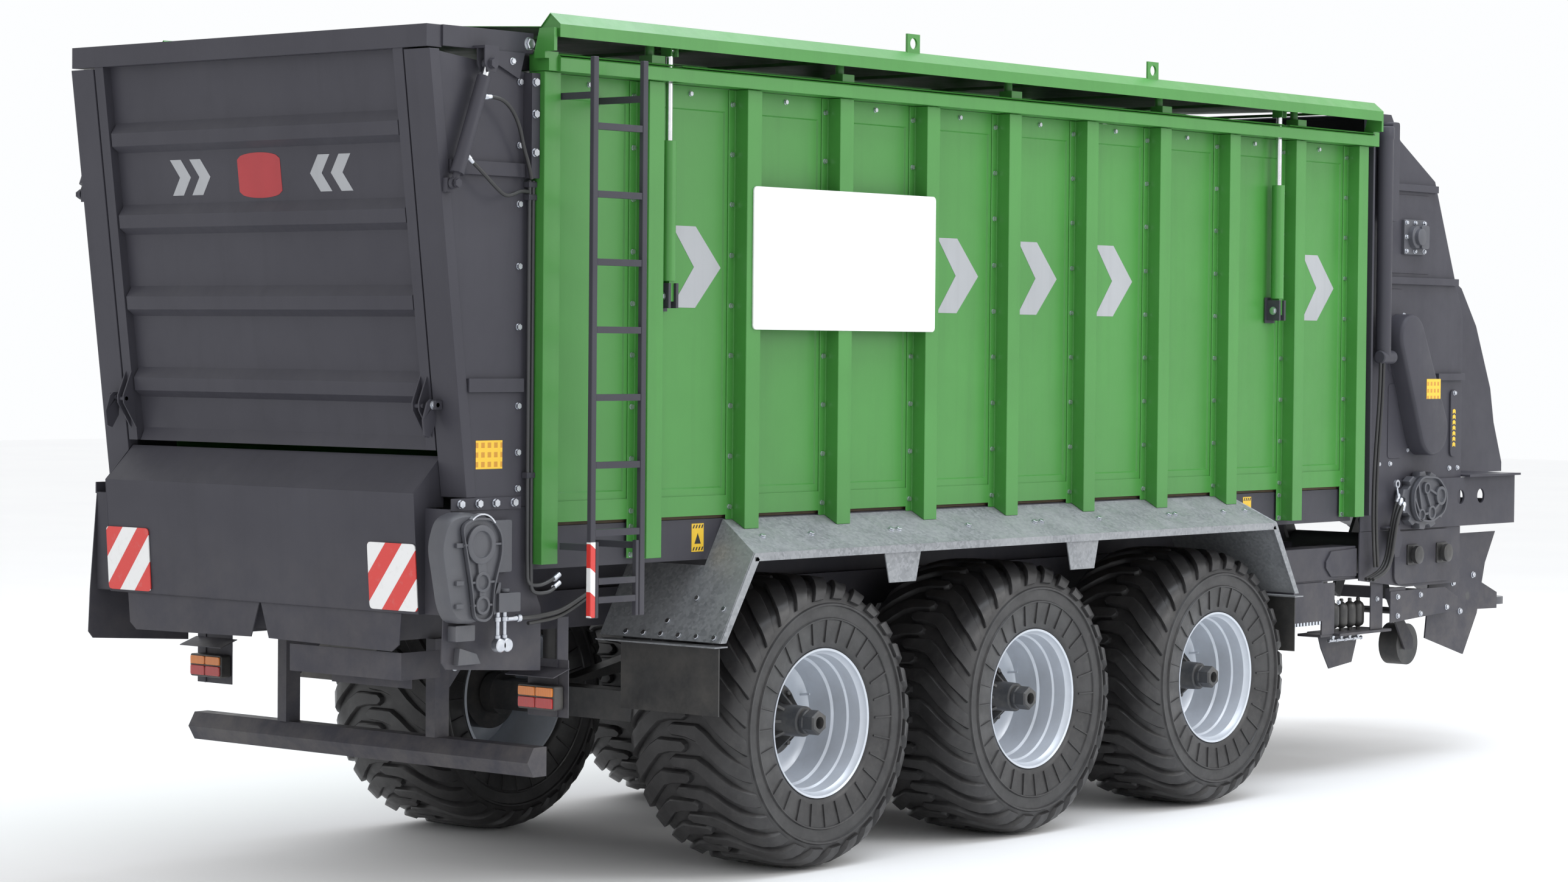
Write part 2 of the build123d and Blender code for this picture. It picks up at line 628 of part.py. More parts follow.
def cover_cylinder_feet():
    """Clevis brackets on the wall with the pins that the barrels turn on."""
    pieces = []
    for x in COVER_CYL_X:
        cheeks = [block((x - 34, x - 18), (-1272, -1189), (2645, 2760)),
                  block((x + 18, x + 34), (-1272, -1189), (2645, 2760))]
        back = block((x - 50, x + 50), (-1189, -WALL_OUT), (2630, 2775))
        pin = bar((x - 40, -COVER_PIN_Y, COVER_PIN_LOW), (x + 40, -COVER_PIN_Y, COVER_PIN_LOW), 12)
        pieces.append(cheeks[0] + cheeks[1] + back + pin)
    return pieces


# ------------------------------------------------------------------ scraper floor
def scraper_slats():
    """Cross slats on four chain strands, lying on the floor."""
    pieces = [block((150, 6600), (y - 15, y + 15), (FLOOR_TOP + 1, FLOOR_TOP + 13))
              for y in (-900, -320, 320, 900)]
    slat_count = 16
    for index in range(slat_count):
        x = 200 + index * 420
        pieces.append(block((x, x + 50), (-1120, 1120), (FLOOR_TOP + 13, FLOOR_TOP + 43)))
    return pieces


def scraper_shaft():
    """Rear turning shaft with a sprocket for each chain strand."""
    shaft = bar((DRIVE_X, -1225, DRIVE_Z), (DRIVE_X, 1176, DRIVE_Z), 28)
    for y in (-900, -320, 320, 900):
        shaft += bar((DRIVE_X, y - 18, DRIVE_Z), (DRIVE_X, y + 18, DRIVE_Z), SPROCKET_R)
    return [shaft]


# ------------------------------------------------------------------ wheels
def tyre(x, side):
    """Hollow wide tyre with rounded shoulders, beads resting on the rim."""
    half = TYRE_W / 2
    outside = [(RIM_R - 12, 292), (RIM_R + 30, 318), (475, 342), (545, half), (612, 348), (668, 318),
               (700, 270), (WHEEL_R, 200)]
    profile = outside + [(r, -y) for r, y in reversed(outside)]
    wall = 34
    inside = [(RIM_R - 12, -250), (RIM_R + 36, -286), (470, -308), (560, -312), (665 - wall, -270),
              (WHEEL_R - wall, -190), (WHEEL_R - wall, 190), (665 - wall, 270), (560, 312), (470, 308),
              (RIM_R + 36, 286), (RIM_R - 12, 250)]
    return [revolve_at(profile + inside, x, side)]


def revolve_at(profile, x, side, z=WHEEL_Z, y=WHEEL_Y):
    """Turn a (radius, across) outline about a wheel's axis; positive across points outward."""
    face = make_face(Polyline(*[(r, 0, across) for r, across in profile], close=True))
    body = revolve(face, axis=Axis.Z)
    turned = Rot(90, 0, 0) * body if side < 0 else Rot(-90, 0, 0) * body
    return Pos(x, side * y, z) * turned


def rim(x, side):
    """Wide stepped rim with its centre disc."""
    half = RIM_W / 2
    outside = [(RIM_R, half), (RIM_R, half - 12), (RIM_R - 12, half - 20), (RIM_R - 12, 200),
               (RIM_R - 40, 150), (RIM_R - 40, -150), (RIM_R - 12, -200), (RIM_R - 12, 20 - half),
               (RIM_R, 12 - half), (RIM_R, -half)]
    inside = [(r - 9, y) for r, y in reversed(outside)]
    barrel = revolve_at(outside + inside, x, side)
    disc = revolve_at([(170, -20), (RIM_R - 49, -20), (RIM_R - 49, -6), (170, -6)], x, side)
    return [barrel + disc]


def hub(x, side):
    """Hub with flange and brake drum, bored for the spindle, closed by a hexagonal cap."""
    outline = [(SPINDLE_R + RUNNING, -150), (200, -150), (200, -20), (180, 14), (90, 24), (78, 60),
               (75, 215), (58, 235), (58, 300), (24, 300), (24, 250), (SPINDLE_R + RUNNING, 240)]
    return [revolve_at(outline, x, side)]


def axle_beams():
    """Square beams with a spindle at each end, and the brake anchor plates."""
    pieces = []
    for x in AXLE_X:
        z = WHEEL_Z
        reach = WHEEL_Y - 245
        axle = block((x - 75, x + 75), (-reach, reach), (z - 75, z + 75))
        axle -= block((x - 63, x + 63), (20 - reach, reach - 20), (z - 63, z + 63))
        for side in (-1, 1):
            axle += bar((x, side * (reach - 10), z), (x, side * (WHEEL_Y + 235), z), SPINDLE_R)
            axle += bar((x, side * reach, z), (x, side * (reach + 75), z), 110)
        pieces.append(axle)
    return pieces


# ------------------------------------------------------------------ front unit
def front_side():
    """Stepped side plate of the intake housing, with three stiffeners."""
    outline = [(7100, 1400), (7100, 3890), (7400, 3890), (7510, 3740), (7930, 3510), (8120, 3070),
               (8290, 2680), (8290, 1701), (8290, 1400)]
    plate = plate_xz(outline, -FRONT_Y, -FRONT_Y + 8)
    pieces = [plate]
    for z, start, reach in ((3440, 7360, 7930), (2880, 7360, 8190), (2300, 7960, 8280)):
        pieces.append(block((start, reach), (-FRONT_Y - 26, -FRONT_Y), (z, z + 42)))
    pieces.append(block((7100, 7120), (-FRONT_Y - 60, -FRONT_Y), (1500, 3860)))
    return pieces


def front_panels():
    """Front wall of the housing, its sloping roof, and the narrower nose in front of it."""
    width = FRONT_Y
    t = 6
    wall = block((8284, 8290), (-width + 8, width - 8), (1702, 2680))
    slope = plate_xz([(8290, 2680), (8120, 3070), (7930, 3510), (7922, 3506), (8112, 3068), (8284, 2680)],
                     -width + 8, width - 8)
    roof = plate_xz([(7930, 3510), (7510, 3740), (7400, 3880), (7122, 3880), (7122, 3874), (7397, 3874),
                     (7507, 3734), (7925, 3505)], -width + 8, width - 8)
    nose_outer = [(8290, 3060), (8620, 3030), (8950, 2880), (9145, 2640), (9340, 2240), (9390, 2020),
                  (9500, 1760), (9500, 1702)]
    nose_inner = [(9494, 1702), (9494, 1760), (9384, 2018), (9334, 2238), (9140, 2636), (8946, 2874),
                  (8618, 3024), (8290, 3054)]
    nose = plate_xz(nose_outer + nose_inner, -800, 800)
    nose_side = plate_xz(nose_outer + [(8290, 1702)], -800 - t, -800)
    return [wall, slope, roof, nose] + both([nose_side])


def chain_cover():
    """Tapered cover of the chain drive, wide and round at both ends."""
    top, bottom = (7500, 2560), (7763, 2010)
    angle = math.atan2(bottom[1] - top[1], bottom[0] - top[0])
    normal = (-math.sin(angle), math.cos(angle))
    r_top, r_bottom = 140, 165

    def offset(centre, radius, sign):
        return centre[0] + sign * normal[0] * radius, centre[1] + sign * normal[1] * radius
    web = plate_xz([offset(top, r_top, 1), offset(bottom, r_bottom, 1), offset(bottom, r_bottom, -1),
                    offset(top, r_top, -1)], -1310, -FRONT_Y)
    ends = [bar((top[0], -1310, top[1]), (top[0], -FRONT_Y, top[1]), r_top),
            bar((bottom[0], -1310, bottom[1]), (bottom[0], -FRONT_Y, bottom[1]), r_bottom)]
    return [web + ends[0] + ends[1]]


def support_beams():
    """Long side beams of the intake unit, each with two round holes."""
    plate = block((7530, 8950), (-FRONT_Y - 14, -FRONT_Y), (1400, 1700))
    for x in (8270, 8520):
        plate -= bar((x, -FRONT_Y - 20, 1580), (x, -FRONT_Y + 10, 1580), 45)
    lower = plate_xz([(7095, 1398), (8290, 1398), (8290, 1050), (7640, 1050), (7095, 1110)],
                     -FRONT_Y, -FRONT_Y + 8)
    step = block((8300, 8945), (-FRONT_Y - 60, -812), (1702, 1716))
    return both([plate, lower, step])


def feed_gearbox():
    """Ribbed casing of the rotor drive with bosses, and the plate with two hub caps below it."""
    casing = plate_xz([(7480, 1690), (7620, 1760), (7860, 1740), (8010, 1600), (7960, 1450), (7700, 1400),
                       (7520, 1480)], -1300, -FRONT_Y - 14)
    bosses = [bar((x, -1300, z), (x, -1318, z), r)
              for x, z, r in ((7900, 1600, 56), (7760, 1500, 40), (7640, 1450, 34))]
    plate_plane = Plane(origin=(7820, -FRONT_Y - 1, 1230), x_dir=(1, 0, 0), z_dir=(0, -1, 0))
    plate = extrude(plate_plane * RectangleRounded(680, 320, 60), amount=14)
    caps = [bar((x, -FRONT_Y - 15, 1245), (x, -FRONT_Y - 75, 1245), 55) for x in (7680, 8030)]
    return [casing] + bosses, [plate], caps


def hydraulics():
    """Valve box, the four gas accumulators on their tray, and the tray's legs."""
    box = block((6390, 6715), (-1180, -900), (890, 1090))
    shelf = block((6390, 6715), (-1180, -900), (1090, 1119))
    tray = block((6890, 7480), (-1190, -960), (790, 806))
    legs = [block((x, x + 140), (-1168, -1160), (806, 1110)) for x in (6720, 7270)]
    rear_leg = block((6720, 6860), (-1160, -1000), (790, 806))
    ceiling = block((6390, 7500), (-1168, -480), (1119, 1127))
    side_box = block((6090, 7090), (-1168, -1000), (1128, 1318))
    badge = plate_xz([(6740, 1200), (6740, 1235), (6800, 1296), (7085, 1304), (7085, 1138), (6800, 1146)],
                     -1180, -1168)
    keel = plate_xz([(6950, 790), (7400, 790), (7390, 720), (7340, 600), (7080, 575), (6990, 700)],
                    -1000, -992)
    bottles = []
    for index in range(4):
        x = 6985 + index * 95
        bottle = bar((x, -1080, 830), (x, -1080, 975), 38)
        bottles.append(bottle + bar((x, -1080, 806), (x, -1080, 1000), 12))
    return [box, shelf, ceiling, side_box, badge], [tray, rear_leg, keel] + legs, bottles


def side_rail_plate():
    """Low bolted side plate between the tray and the pick-up."""
    plate = plate_xz([(7450, 1030), (8100, 1030), (8260, 960), (8260, 880), (7450, 840)], -1198, -1190)
    brace = block((7450, 7640), (-1190, -1160), (980, 1049))
    return [plate, brace]


# ------------------------------------------------------------------ intake rotor and pick-up
def rotor():
    """Feed rotor: a tube with rows of tines on a through shaft."""
    x, z = ROTOR
    body = bar((x, -1100, z), (x, 1100, z), 130)
    body += bar((x, -1170, z), (x, 1170, z), 35)
    for row in range(12):
        y = -1040 + row * 186
        angle = row * 60
        tine = Pos(ROTOR_R / 2 + 30, 0, 0) * Box(ROTOR_R - 60, 22, 90)
        for turn in (angle, angle + 180):
            body += Pos(x, y, z) * Rot(0, turn, 0) * tine
    return [body]


def rotor_bearings():
    """Bearing plates inside the housing sides that hold the rotor shaft."""
    x, z = ROTOR
    plate = block((x - 100, x + 100), (-1168, -1140), (z - 100, z + 100))
    plate -= bar((x, -1175, z), (x, -1135, z), 35 + RUNNING)
    return both([plate])


def pickup_frame():
    """Side plates, cross tube and gauge wheel legs of the pick-up, hung on pivots of the housing."""
    px, pz = PICKUP_PIVOT
    side = plate_xz([(px - 90, pz - 250), (8000, 715), (8471, 588), (8640, 836), (8735, 1150),
                     (8860, 1345), (8400, 1345), (px + 40, pz + 60), (px - 70, pz + 60)], -1120, -1110)
    side -= bar((px, -1125, pz), (px, -1105, pz), 25 + RUNNING)
    side -= bar((REEL[0], -1125, REEL[1]), (REEL[0], -1105, REEL[1]), 25 + RUNNING)
    tube = block((8160, 8230), (-1110, 1110), (930, 1000))
    x, z = GAUGE_WHEEL
    leg = plate_xz([(8160, 930), (8230, 930), (x + 40, z + 40), (x + 40, z - 30), (x - 60, z - 30)],
                   -760, -748)
    pin = bar((x, -748, z), (x, -600, z), 16)
    return [tube] + both([side, leg, pin])


def pickup_pivots():
    px, pz = PICKUP_PIVOT
    pin = bar((px, -1182, pz), (px, -1100, pz), 25)
    return both([pin])


def pickup_reel():
    """Tine reel of the pick-up: a shaft, end discs and tine bars."""
    x, z = REEL
    pieces = bar((x, -1120, z), (x, 1120, z), 25)
    for y in (-1070, 0, 1070):
        pieces += bar((x, y - 8, z), (x, y + 8, z), REEL_R - 70)
    for angle in range(0, 360, 60):
        dx, dz = math.cos(math.radians(angle)) * 140, math.sin(math.radians(angle)) * 140
        pieces += bar((x + dx, -1070, z + dz), (x + dx, 1070, z + dz), 16)
    return [pieces]


def gauge_wheels():
    """Small wheels that carry the lowered pick-up."""
    x, z = GAUGE_WHEEL
    wheel = bar((x, -740, z), (x, -610, z), GAUGE_R)
    wheel -= bar((x, -800, z), (x, -500, z), 16 + RUNNING)
    return both([wheel])


def drawbar():
    """Cranked hollow beam that runs down and forward from its pivot to the coupling."""
    px, pz = DRAWBAR_PIVOT
    end_x, end_z = COUPLING_X, COUPLING_Z + 15
    outline = [(px - 60, pz + 70), (px + 320, pz + 90), (end_x - 420, end_z + 190),
               (end_x - 60, end_z + 60), (end_x - 60, end_z - 50), (end_x - 480, end_z - 40),
               (px + 300, pz - 170), (px - 60, pz - 70)]
    core = [(px + 60, pz + 60), (px + 316, pz + 78), (end_x - 426, end_z + 178),
            (end_x - 130, end_z + 62), (end_x - 130, end_z - 38), (end_x - 476, end_z - 26),
            (px + 306, pz - 156), (px + 60, pz - 66)]
    beam = plate_xz(outline, -110, 110) - plate_xz(core, -100, 100)
    yoke = block((px - 60, px + 60), (-300, 300), (pz - 60, pz + 60))
    hole = bar((px, -310, pz), (px, 310, pz), 35 + RUNNING)
    nose_space = bar((end_x, 0, COUPLING_Z - 80), (end_x, 0, COUPLING_Z + 200), 110)
    return [beam + yoke - hole - nose_space]


def coupling():
    """Cup coupling for an eighty millimetre ball, open at the bottom."""
    x, z = COUPLING_X, COUPLING_Z
    body = bar((x, 0, z - 10), (x, 0, z + 40), 110)
    cup = Pos(x, 0, z + 8) * Sphere(BALL_R + 0.5)
    dome = Pos(x, 0, z + 20) * Sphere(62)
    body += dome & block((x - 70, x + 70), (-70, 70), (z + 20, z + 90))
    body -= cup
    body -= bar((x, 0, z - 20), (x, 0, z + 8), BALL_R + 0.5)
    return [body]


def drawbar_mounting():
    """Cross tube between the side beams, with the arms and the pin that the drawbar swings on."""
    px, pz = DRAWBAR_PIVOT
    cross = block((px - 220, px - 140), (-FRONT_Y, FRONT_Y), (1440, 1560))
    arm = block((px - 140, px + 70), (-345, -310), (pz - 60, pz + 60))
    pin = bar((px, -345, pz), (px, 345, pz), 35)
    return both([arm]) + [cross, pin]


# ------------------------------------------------------------------ pipes and hoses
def hose(points, radius):
    """A round hose along straight runs joined by arcs as wide as the runs allow."""
    vectors = [Vector(*point) for point in points]
    radii = []
    for before, corner, after in zip(vectors, vectors[1:], vectors[2:]):
        run = min((corner - before).length, (after - corner).length)
        turn = (corner - before).get_angle(after - corner)
        radii.append(0.45 * run / math.tan(math.radians(turn / 2)))
    path = FilletPolyline(*points, radius=radii)
    print("hose", round(path.length), "mm long, bends", [round(bend) for bend in radii])
    section = Plane(origin=path @ 0, z_dir=path % 0) * Circle(radius)
    return sweep(section, path=path)


def lift_hoses():
    """Hoses from the lift cylinder to the clips on the corner post, and the pipes below them."""
    upper = [(-352, -LIFT_Y, 3545), (-300, -1262, 3552), (-220, -1266, 3520), (-150, -1258, 3440),
             (-100, -1240, 3330), (-74, -1246, 3262), (-62, -1250, 3200)]
    lower = [(-452, -LIFT_Y, 3280), (-390, -1262, 3226), (-310, -1268, 3160), (-240, -1264, 3118),
             (-170, -1250, 3132), (-110, -1232, 3150), (-56, -1224, 3146)]
    return both([hose(upper, 9), hose(lower, 9)])


def corner_pipes():
    """Steel pipes down the corner post, turned forward under the body, with their clips."""
    pieces = []
    for index in range(2):
        x = -38 + index * 24
        foot = 1400 - index * 36
        pieces.append(hose_with_bend([(x, -1215, 3196), (x, -1215, foot), (90 + index * 40, -1215, foot + 8),
                                      (170, -1206, foot + 40)], 9, 34))
    clips = [block((-50, -2), (-1226, -1204), (z, z + 26)) for z in (3166, 3110, 1880)]
    return pieces, clips


def hose_with_bend(points, radius, bend):
    path = FilletPolyline(*points, radius=bend)
    section = Plane(origin=path @ 0, z_dir=path % 0) * Circle(radius)
    return sweep(section, path=path)


def front_hoses():
    """The pair of hoses that curves from the feed motor down to the accumulators, and two long ones."""
    pieces = []
    for index in range(3):
        y = -1232 - index * 24
        route = [(7470 - index * 8, y, 1610 - index * 24), (7410 - index * 10, y, 1500),
                 (7370 - index * 12, y, 1360), (7335 - index * 10, y, 1230), (7250, y, 1150),
                 (7120, y + 10, 1120)]
        pieces.append(hose(route, 11))
    return pieces


# ------------------------------------------------------------------ export
def save(name, shapes):
    """Write one node, shifted so that the origin is under the middle of the trailer."""
    parts = [Pos(SHIFT_X, 0, DATUM_Z) * solid for solid in solids_of(shapes)]
    export_step(parts[0] if len(parts) == 1 else Compound(parts), os.path.join("parts", name + ".step"))


os.makedirs("parts", exist_ok=True)

gearbox_casing, hub_plate, hub_caps = feed_gearbox()
valve_box, accumulator_tray, accumulators = hydraulics()
pipes, pipe_clips = corner_pipes()
lamp_housings, lamp_brackets = light_parts()
red_lenses, amber_lenses = light_lenses()

save("chassis_frame", chassis() + floor_frame() + drawbar_mounting() + support_beams() + both(hub_plate))
save("axles", axle_beams() + suspension())
save("body_floor", body_floor())
save("side_walls", both([side_wall()]))
save("side_posts", both(side_posts()))
save("top_rails", both(top_rail() + rail_end_brackets()))
save("body_bolts", both(post_bolts() + cheek_bolts()))
save("sign_plate", sign_plate())
save("fenders", both(fender() + fender_gussets()))
save("mud_flaps", both(mud_flaps()))
save("ladder_frame", ladder_frame())
save("ladder_step", ladder_step())

save("rear_cheeks", both(rear_cheek()))
save("rear_hood", rear_hood())
save("rear_underframe", rear_underplates() + underrun_guard() + lamp_brackets)
save("warning_boards", warning_boards())
save("lamp_housings", lamp_housings)
save("red_lenses", red_lenses)
save("amber_lenses", amber_lenses)
save("scraper_gearbox", scraper_gearbox())
save("pivot_pins", gate_hinge_pins() + latch_pivots() + lift_lugs() + both(cover_cylinder_feet())
     + pickup_pivots())

save("tailgate_panel", gate_panel() + gate_fins())
save("tailgate_frame", gate_frame() + lift_bolt_heads())
save("latch_hooks", both(latch_hook()))
save("lift_barrels", both(lift_barrel()))
save("lift_rods", both(lift_rod()))

for side_name, copy in (("right", list), ("left", left_of)):
    save("roof_cover_" + side_name, copy(roof_cover() + cover_brackets() + cover_lugs()))
    save("cover_barrels_" + side_name, copy(cover_barrels()))
    save("cover_rods_" + side_name, copy(cover_rods()))

save("scraper_slats", scraper_slats())
save("scraper_shaft", scraper_shaft())
for axle_x, axle_name in zip(AXLE_X, AXLE_NAMES):
    for side, side_name in ((-1, "right"), (1, "left")):
        save(f"tyre_{axle_name}_{side_name}", tyre(axle_x, side))
        save(f"wheel_{axle_name}_{side_name}", rim(axle_x, side) + hub(axle_x, side))

save("intake_sides", both(front_side()) + rotor_bearings())
save("intake_front", front_panels())
save("chain_cover", chain_cover())
save("feed_gearbox", gearbox_casing)
save("hub_caps", both(hub_caps))
save("hydraulic_rack", both(valve_box + accumulator_tray + side_rail_plate()))
save("accumulators", both(accumulators))
save("rotor", rotor())
save("pickup_frame", pickup_frame())
save("pickup_reel", pickup_reel())
save("gauge_wheels", gauge_wheels())
save("drawbar", drawbar())
save("coupling", coupling())
save("hydraulic_lines", lift_hoses() + both(front_hoses() + pipes + pipe_clips))
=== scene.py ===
import math

import bmesh
import bpy
from mathutils import Matrix, Vector


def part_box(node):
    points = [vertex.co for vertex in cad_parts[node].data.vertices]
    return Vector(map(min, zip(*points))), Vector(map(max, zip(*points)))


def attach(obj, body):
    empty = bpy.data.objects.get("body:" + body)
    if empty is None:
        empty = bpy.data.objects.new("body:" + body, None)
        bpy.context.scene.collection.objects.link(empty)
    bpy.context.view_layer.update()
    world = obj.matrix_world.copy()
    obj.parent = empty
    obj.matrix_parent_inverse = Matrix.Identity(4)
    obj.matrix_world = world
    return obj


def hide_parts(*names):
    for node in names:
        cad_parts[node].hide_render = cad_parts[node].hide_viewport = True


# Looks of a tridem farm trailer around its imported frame. Metres. Lengths along the trailer are
# stations: distances forward from the body's rear edge. Heights start at a datum a little above the
# ground. The right-hand side has negative y, so OUTWARD points away from it.

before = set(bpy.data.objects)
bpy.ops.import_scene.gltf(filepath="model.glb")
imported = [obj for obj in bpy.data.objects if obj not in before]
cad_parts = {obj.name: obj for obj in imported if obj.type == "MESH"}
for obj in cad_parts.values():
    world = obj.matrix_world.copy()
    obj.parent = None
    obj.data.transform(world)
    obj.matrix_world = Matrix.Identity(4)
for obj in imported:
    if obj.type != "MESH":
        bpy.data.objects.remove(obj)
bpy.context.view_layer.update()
REAR_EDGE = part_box("side_walls")[0].x
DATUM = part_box("mud_flaps")[0].z - 0.760
WALL_OUT = 1.183
CHEEK_Y = 1.190
LEAN = 0.1255
LEAN_TOP = (-0.646, 3.751)
AXLES = ("rear", "middle", "front")
OUTWARD = (0, -1, 0)
HALF_TURN = math.pi
FULL_TURN = 2 * math.pi
DECAL = 0.0012


def lean_x(z, depth=0.0):
    """Station of the leaning rear frame at a height; depth moves it forward."""
    return LEAN_TOP[0] + LEAN * (LEAN_TOP[1] - z) + depth


def new_object(name, data):
    """An object of the data, in the scene."""
    thing = bpy.data.objects.new(name, data)
    bpy.context.scene.collection.objects.link(thing)
    return thing


def ease_edges(thing, width, angle):
    """A small two-step bevel on the edges sharper than an angle."""
    edges = thing.modifiers.new("edges", "BEVEL")
    edges.width = width
    edges.segments = 2
    edges.limit_method = "ANGLE"
    edges.angle_limit = math.radians(angle)


def clothe(mesh, material):
    """Gives every slot of a mesh one material."""
    if not mesh.materials:
        mesh.materials.append(material)
    for index in range(len(mesh.materials)):
        mesh.materials[index] = material


# ------------------------------------------------------------------ node materials
def feed(tree, socket, value):
    """Sets an input to a value, or joins it to another node's output."""
    if isinstance(value, bpy.types.NodeSocket):
        tree.links.new(value, socket)
    else:
        socket.default_value = value


def add_node(tree, kind, inputs=None, **settings):
    """A shader node with its settings and its inputs, each a number, a colour or an output."""
    node = tree.nodes.new("ShaderNode" + kind)
    for key, value in settings.items():
        setattr(node, key, value)
    for key, value in (inputs or {}).items():
        feed(tree, node.inputs[key], value)
    return node


def mix_colours(tree, share, first, second):
    """Colour between two others, each a colour or an output; share is an output."""
    node = add_node(tree, "Mix", data_type="RGBA")
    for index, value in ((0, share), (6, first), (7, second)):
        feed(tree, node.inputs[index], (*value, 1.0) if isinstance(value, tuple) else value)
    return node.outputs[2]


def math_node(tree, operation, first, second=0.0):
    """A maths node of one or two values, each a number or an output."""
    return add_node(tree, "Math", {0: first, 1: second}, operation=operation).outputs[0]


def ramp(tree, value, low, high, to_low=0.0, to_high=1.0):
    """Value stretched from low..high to to_low..to_high and clamped."""
    inputs = {"Value": value, "From Min": low, "From Max": high, "To Min": to_low, "To Max": to_high}
    return add_node(tree, "MapRange", inputs).outputs[0]


def noise(tree, place, scale, detail=4.0, roughness=0.55):
    """Noise between 0 and 1 over the object's own coordinates."""
    inputs = {"Vector": place, "Scale": scale, "Detail": detail, "Roughness": roughness}
    return add_node(tree, "TexNoise", inputs).outputs[0]


def start_material(name, metallic=0.0, coat=0.0, specular=0.5):
    """An empty node material: itself, its tree, its shader and its coordinates."""
    material = bpy.data.materials.new(name)
    material.use_nodes = True
    tree = material.node_tree
    tree.nodes.clear()
    shader = tree.nodes.new("ShaderNodeBsdfPrincipled")
    shader.inputs["Metallic"].default_value = metallic
    shader.inputs["Coat Weight"].default_value = coat
    shader.inputs["Coat Roughness"].default_value = 0.25
    shader.inputs["Specular IOR Level"].default_value = specular
    output = tree.nodes.new("ShaderNodeOutputMaterial")
    tree.links.new(shader.outputs[0], output.inputs[0])
    place = tree.nodes.new("ShaderNodeTexCoord").outputs["Object"]
    return material, tree, shader, place


def finish_surface(tree, shader, place, colour, rough, grain_scale, grain_height):
    """Connects the colour, a broken-up roughness and a fine bump."""
    tree.links.new(colour, shader.inputs["Base Color"])
    uneven = noise(tree, place, 7.0, 6.0, 0.65)
    tree.links.new(ramp(tree, uneven, 0.35, 0.68, rough[0], rough[1]), shader.inputs["Roughness"])
    grain = noise(tree, place, grain_scale, 3.0, 0.6)
    bump = add_node(tree, "Bump", {"Height": grain, "Strength": 0.35, "Distance": grain_height})
    tree.links.new(bump.outputs[0], shader.inputs["Normal"])


def paint(name, base, shade, rough, coat=0.15, dust=(0.30, 0.27, 0.23), dust_share=0.25, metallic=0.0,
          grain_scale=90.0, grain_height=0.0006, specular=0.5, painted_shade_within=None):
    """Sprayed paint: broad tone changes, faint run-off streaks, and dust towards the ground.

    Within the given distance of the middle plane the paint turns near-black: painted shade inside the body."""
    material, tree, shader, place = start_material(name, metallic, coat, specular)
    broad = ramp(tree, noise(tree, place, 1.3, 5.0), 0.35, 0.68)
    colour = mix_colours(tree, broad, base, shade)
    stretched = add_node(tree, "Mapping", {"Vector": place, "Scale": (14.0, 14.0, 0.7)}).outputs[0]
    streak = ramp(tree, noise(tree, stretched, 1.0, 5.0, 0.6), 0.50, 0.78, 0.0, 0.35)
    colour = mix_colours(tree, streak, colour, tuple(channel * 0.72 for channel in base))
    height = add_node(tree, "SeparateXYZ", {"Vector": place}).outputs[2]
    low = ramp(tree, height, 1.7, 0.2, 0.0, dust_share)
    spots = ramp(tree, noise(tree, place, 5.0, 8.0, 0.7), 0.38, 0.66)
    colour = mix_colours(tree, math_node(tree, "MULTIPLY", low, spots), colour, dust)
    speck = ramp(tree, noise(tree, place, 55.0, 2.0), 0.72, 0.80, 0.0, 0.25)
    colour = mix_colours(tree, speck, colour, tuple(min(1.0, channel * 1.35) for channel in base))
    # Painted shade: faces near the middle plane, inside the body, turn near-black.
    if painted_shade_within:
        off_middle = math_node(tree, "ABSOLUTE", add_node(tree, "SeparateXYZ", {"Vector": place}).outputs[1])
        colour = mix_colours(tree, math_node(tree, "LESS_THAN", off_middle, painted_shade_within), colour,
                             (0.020, 0.020, 0.019))
    finish_surface(tree, shader, place, colour, rough, grain_scale, grain_height)
    return material


def rubber():
    """Tyre rubber, dusty in patches."""
    material, tree, shader, place = start_material("tyre_rubber_look", specular=0.45)
    broad = ramp(tree, noise(tree, place, 6.0, 6.0, 0.65), 0.36, 0.66)
    colour = mix_colours(tree, broad, (0.022, 0.021, 0.022), (0.042, 0.041, 0.042))
    dusty = ramp(tree, noise(tree, place, 22.0, 5.0, 0.7), 0.52, 0.74, 0.0, 0.35)
    colour = mix_colours(tree, dusty, colour, (0.075, 0.072, 0.068))
    finish_surface(tree, shader, place, colour, (0.30, 0.52), 240.0, 0.0007)
    return material


def galvanised():
    """Zinc-sprayed plate with a fine speckle."""
    material, tree, shader, place = start_material("fender_plate_look", metallic=0.25)
    cells = add_node(tree, "TexVoronoi", {"Vector": place, "Scale": 70.0}).outputs["Color"]
    tone = add_node(tree, "SeparateColor", {"Color": cells}).outputs[0]
    colour = mix_colours(tree, ramp(tree, tone, 0.0, 1.0), (0.185, 0.195, 0.208), (0.285, 0.295, 0.312))
    broad = ramp(tree, noise(tree, place, 2.2, 6.0, 0.65), 0.42, 0.66, 0.0, 0.6)
    colour = mix_colours(tree, broad, colour, (0.34, 0.35, 0.365))
    finish_surface(tree, shader, place, colour, (0.38, 0.6), 160.0, 0.0005)
    return material


def bare_metal(name, base, shade, rough, scale=25.0):
    """Uncoated metal, cloudy in tone."""
    material, tree, shader, place = start_material(name, metallic=1.0)
    broad = ramp(tree, noise(tree, place, scale, 5.0, 0.6), 0.35, 0.68)
    colour = mix_colours(tree, broad, base, shade)
    finish_surface(tree, shader, place, colour, rough, 300.0, 0.0003)
    return material


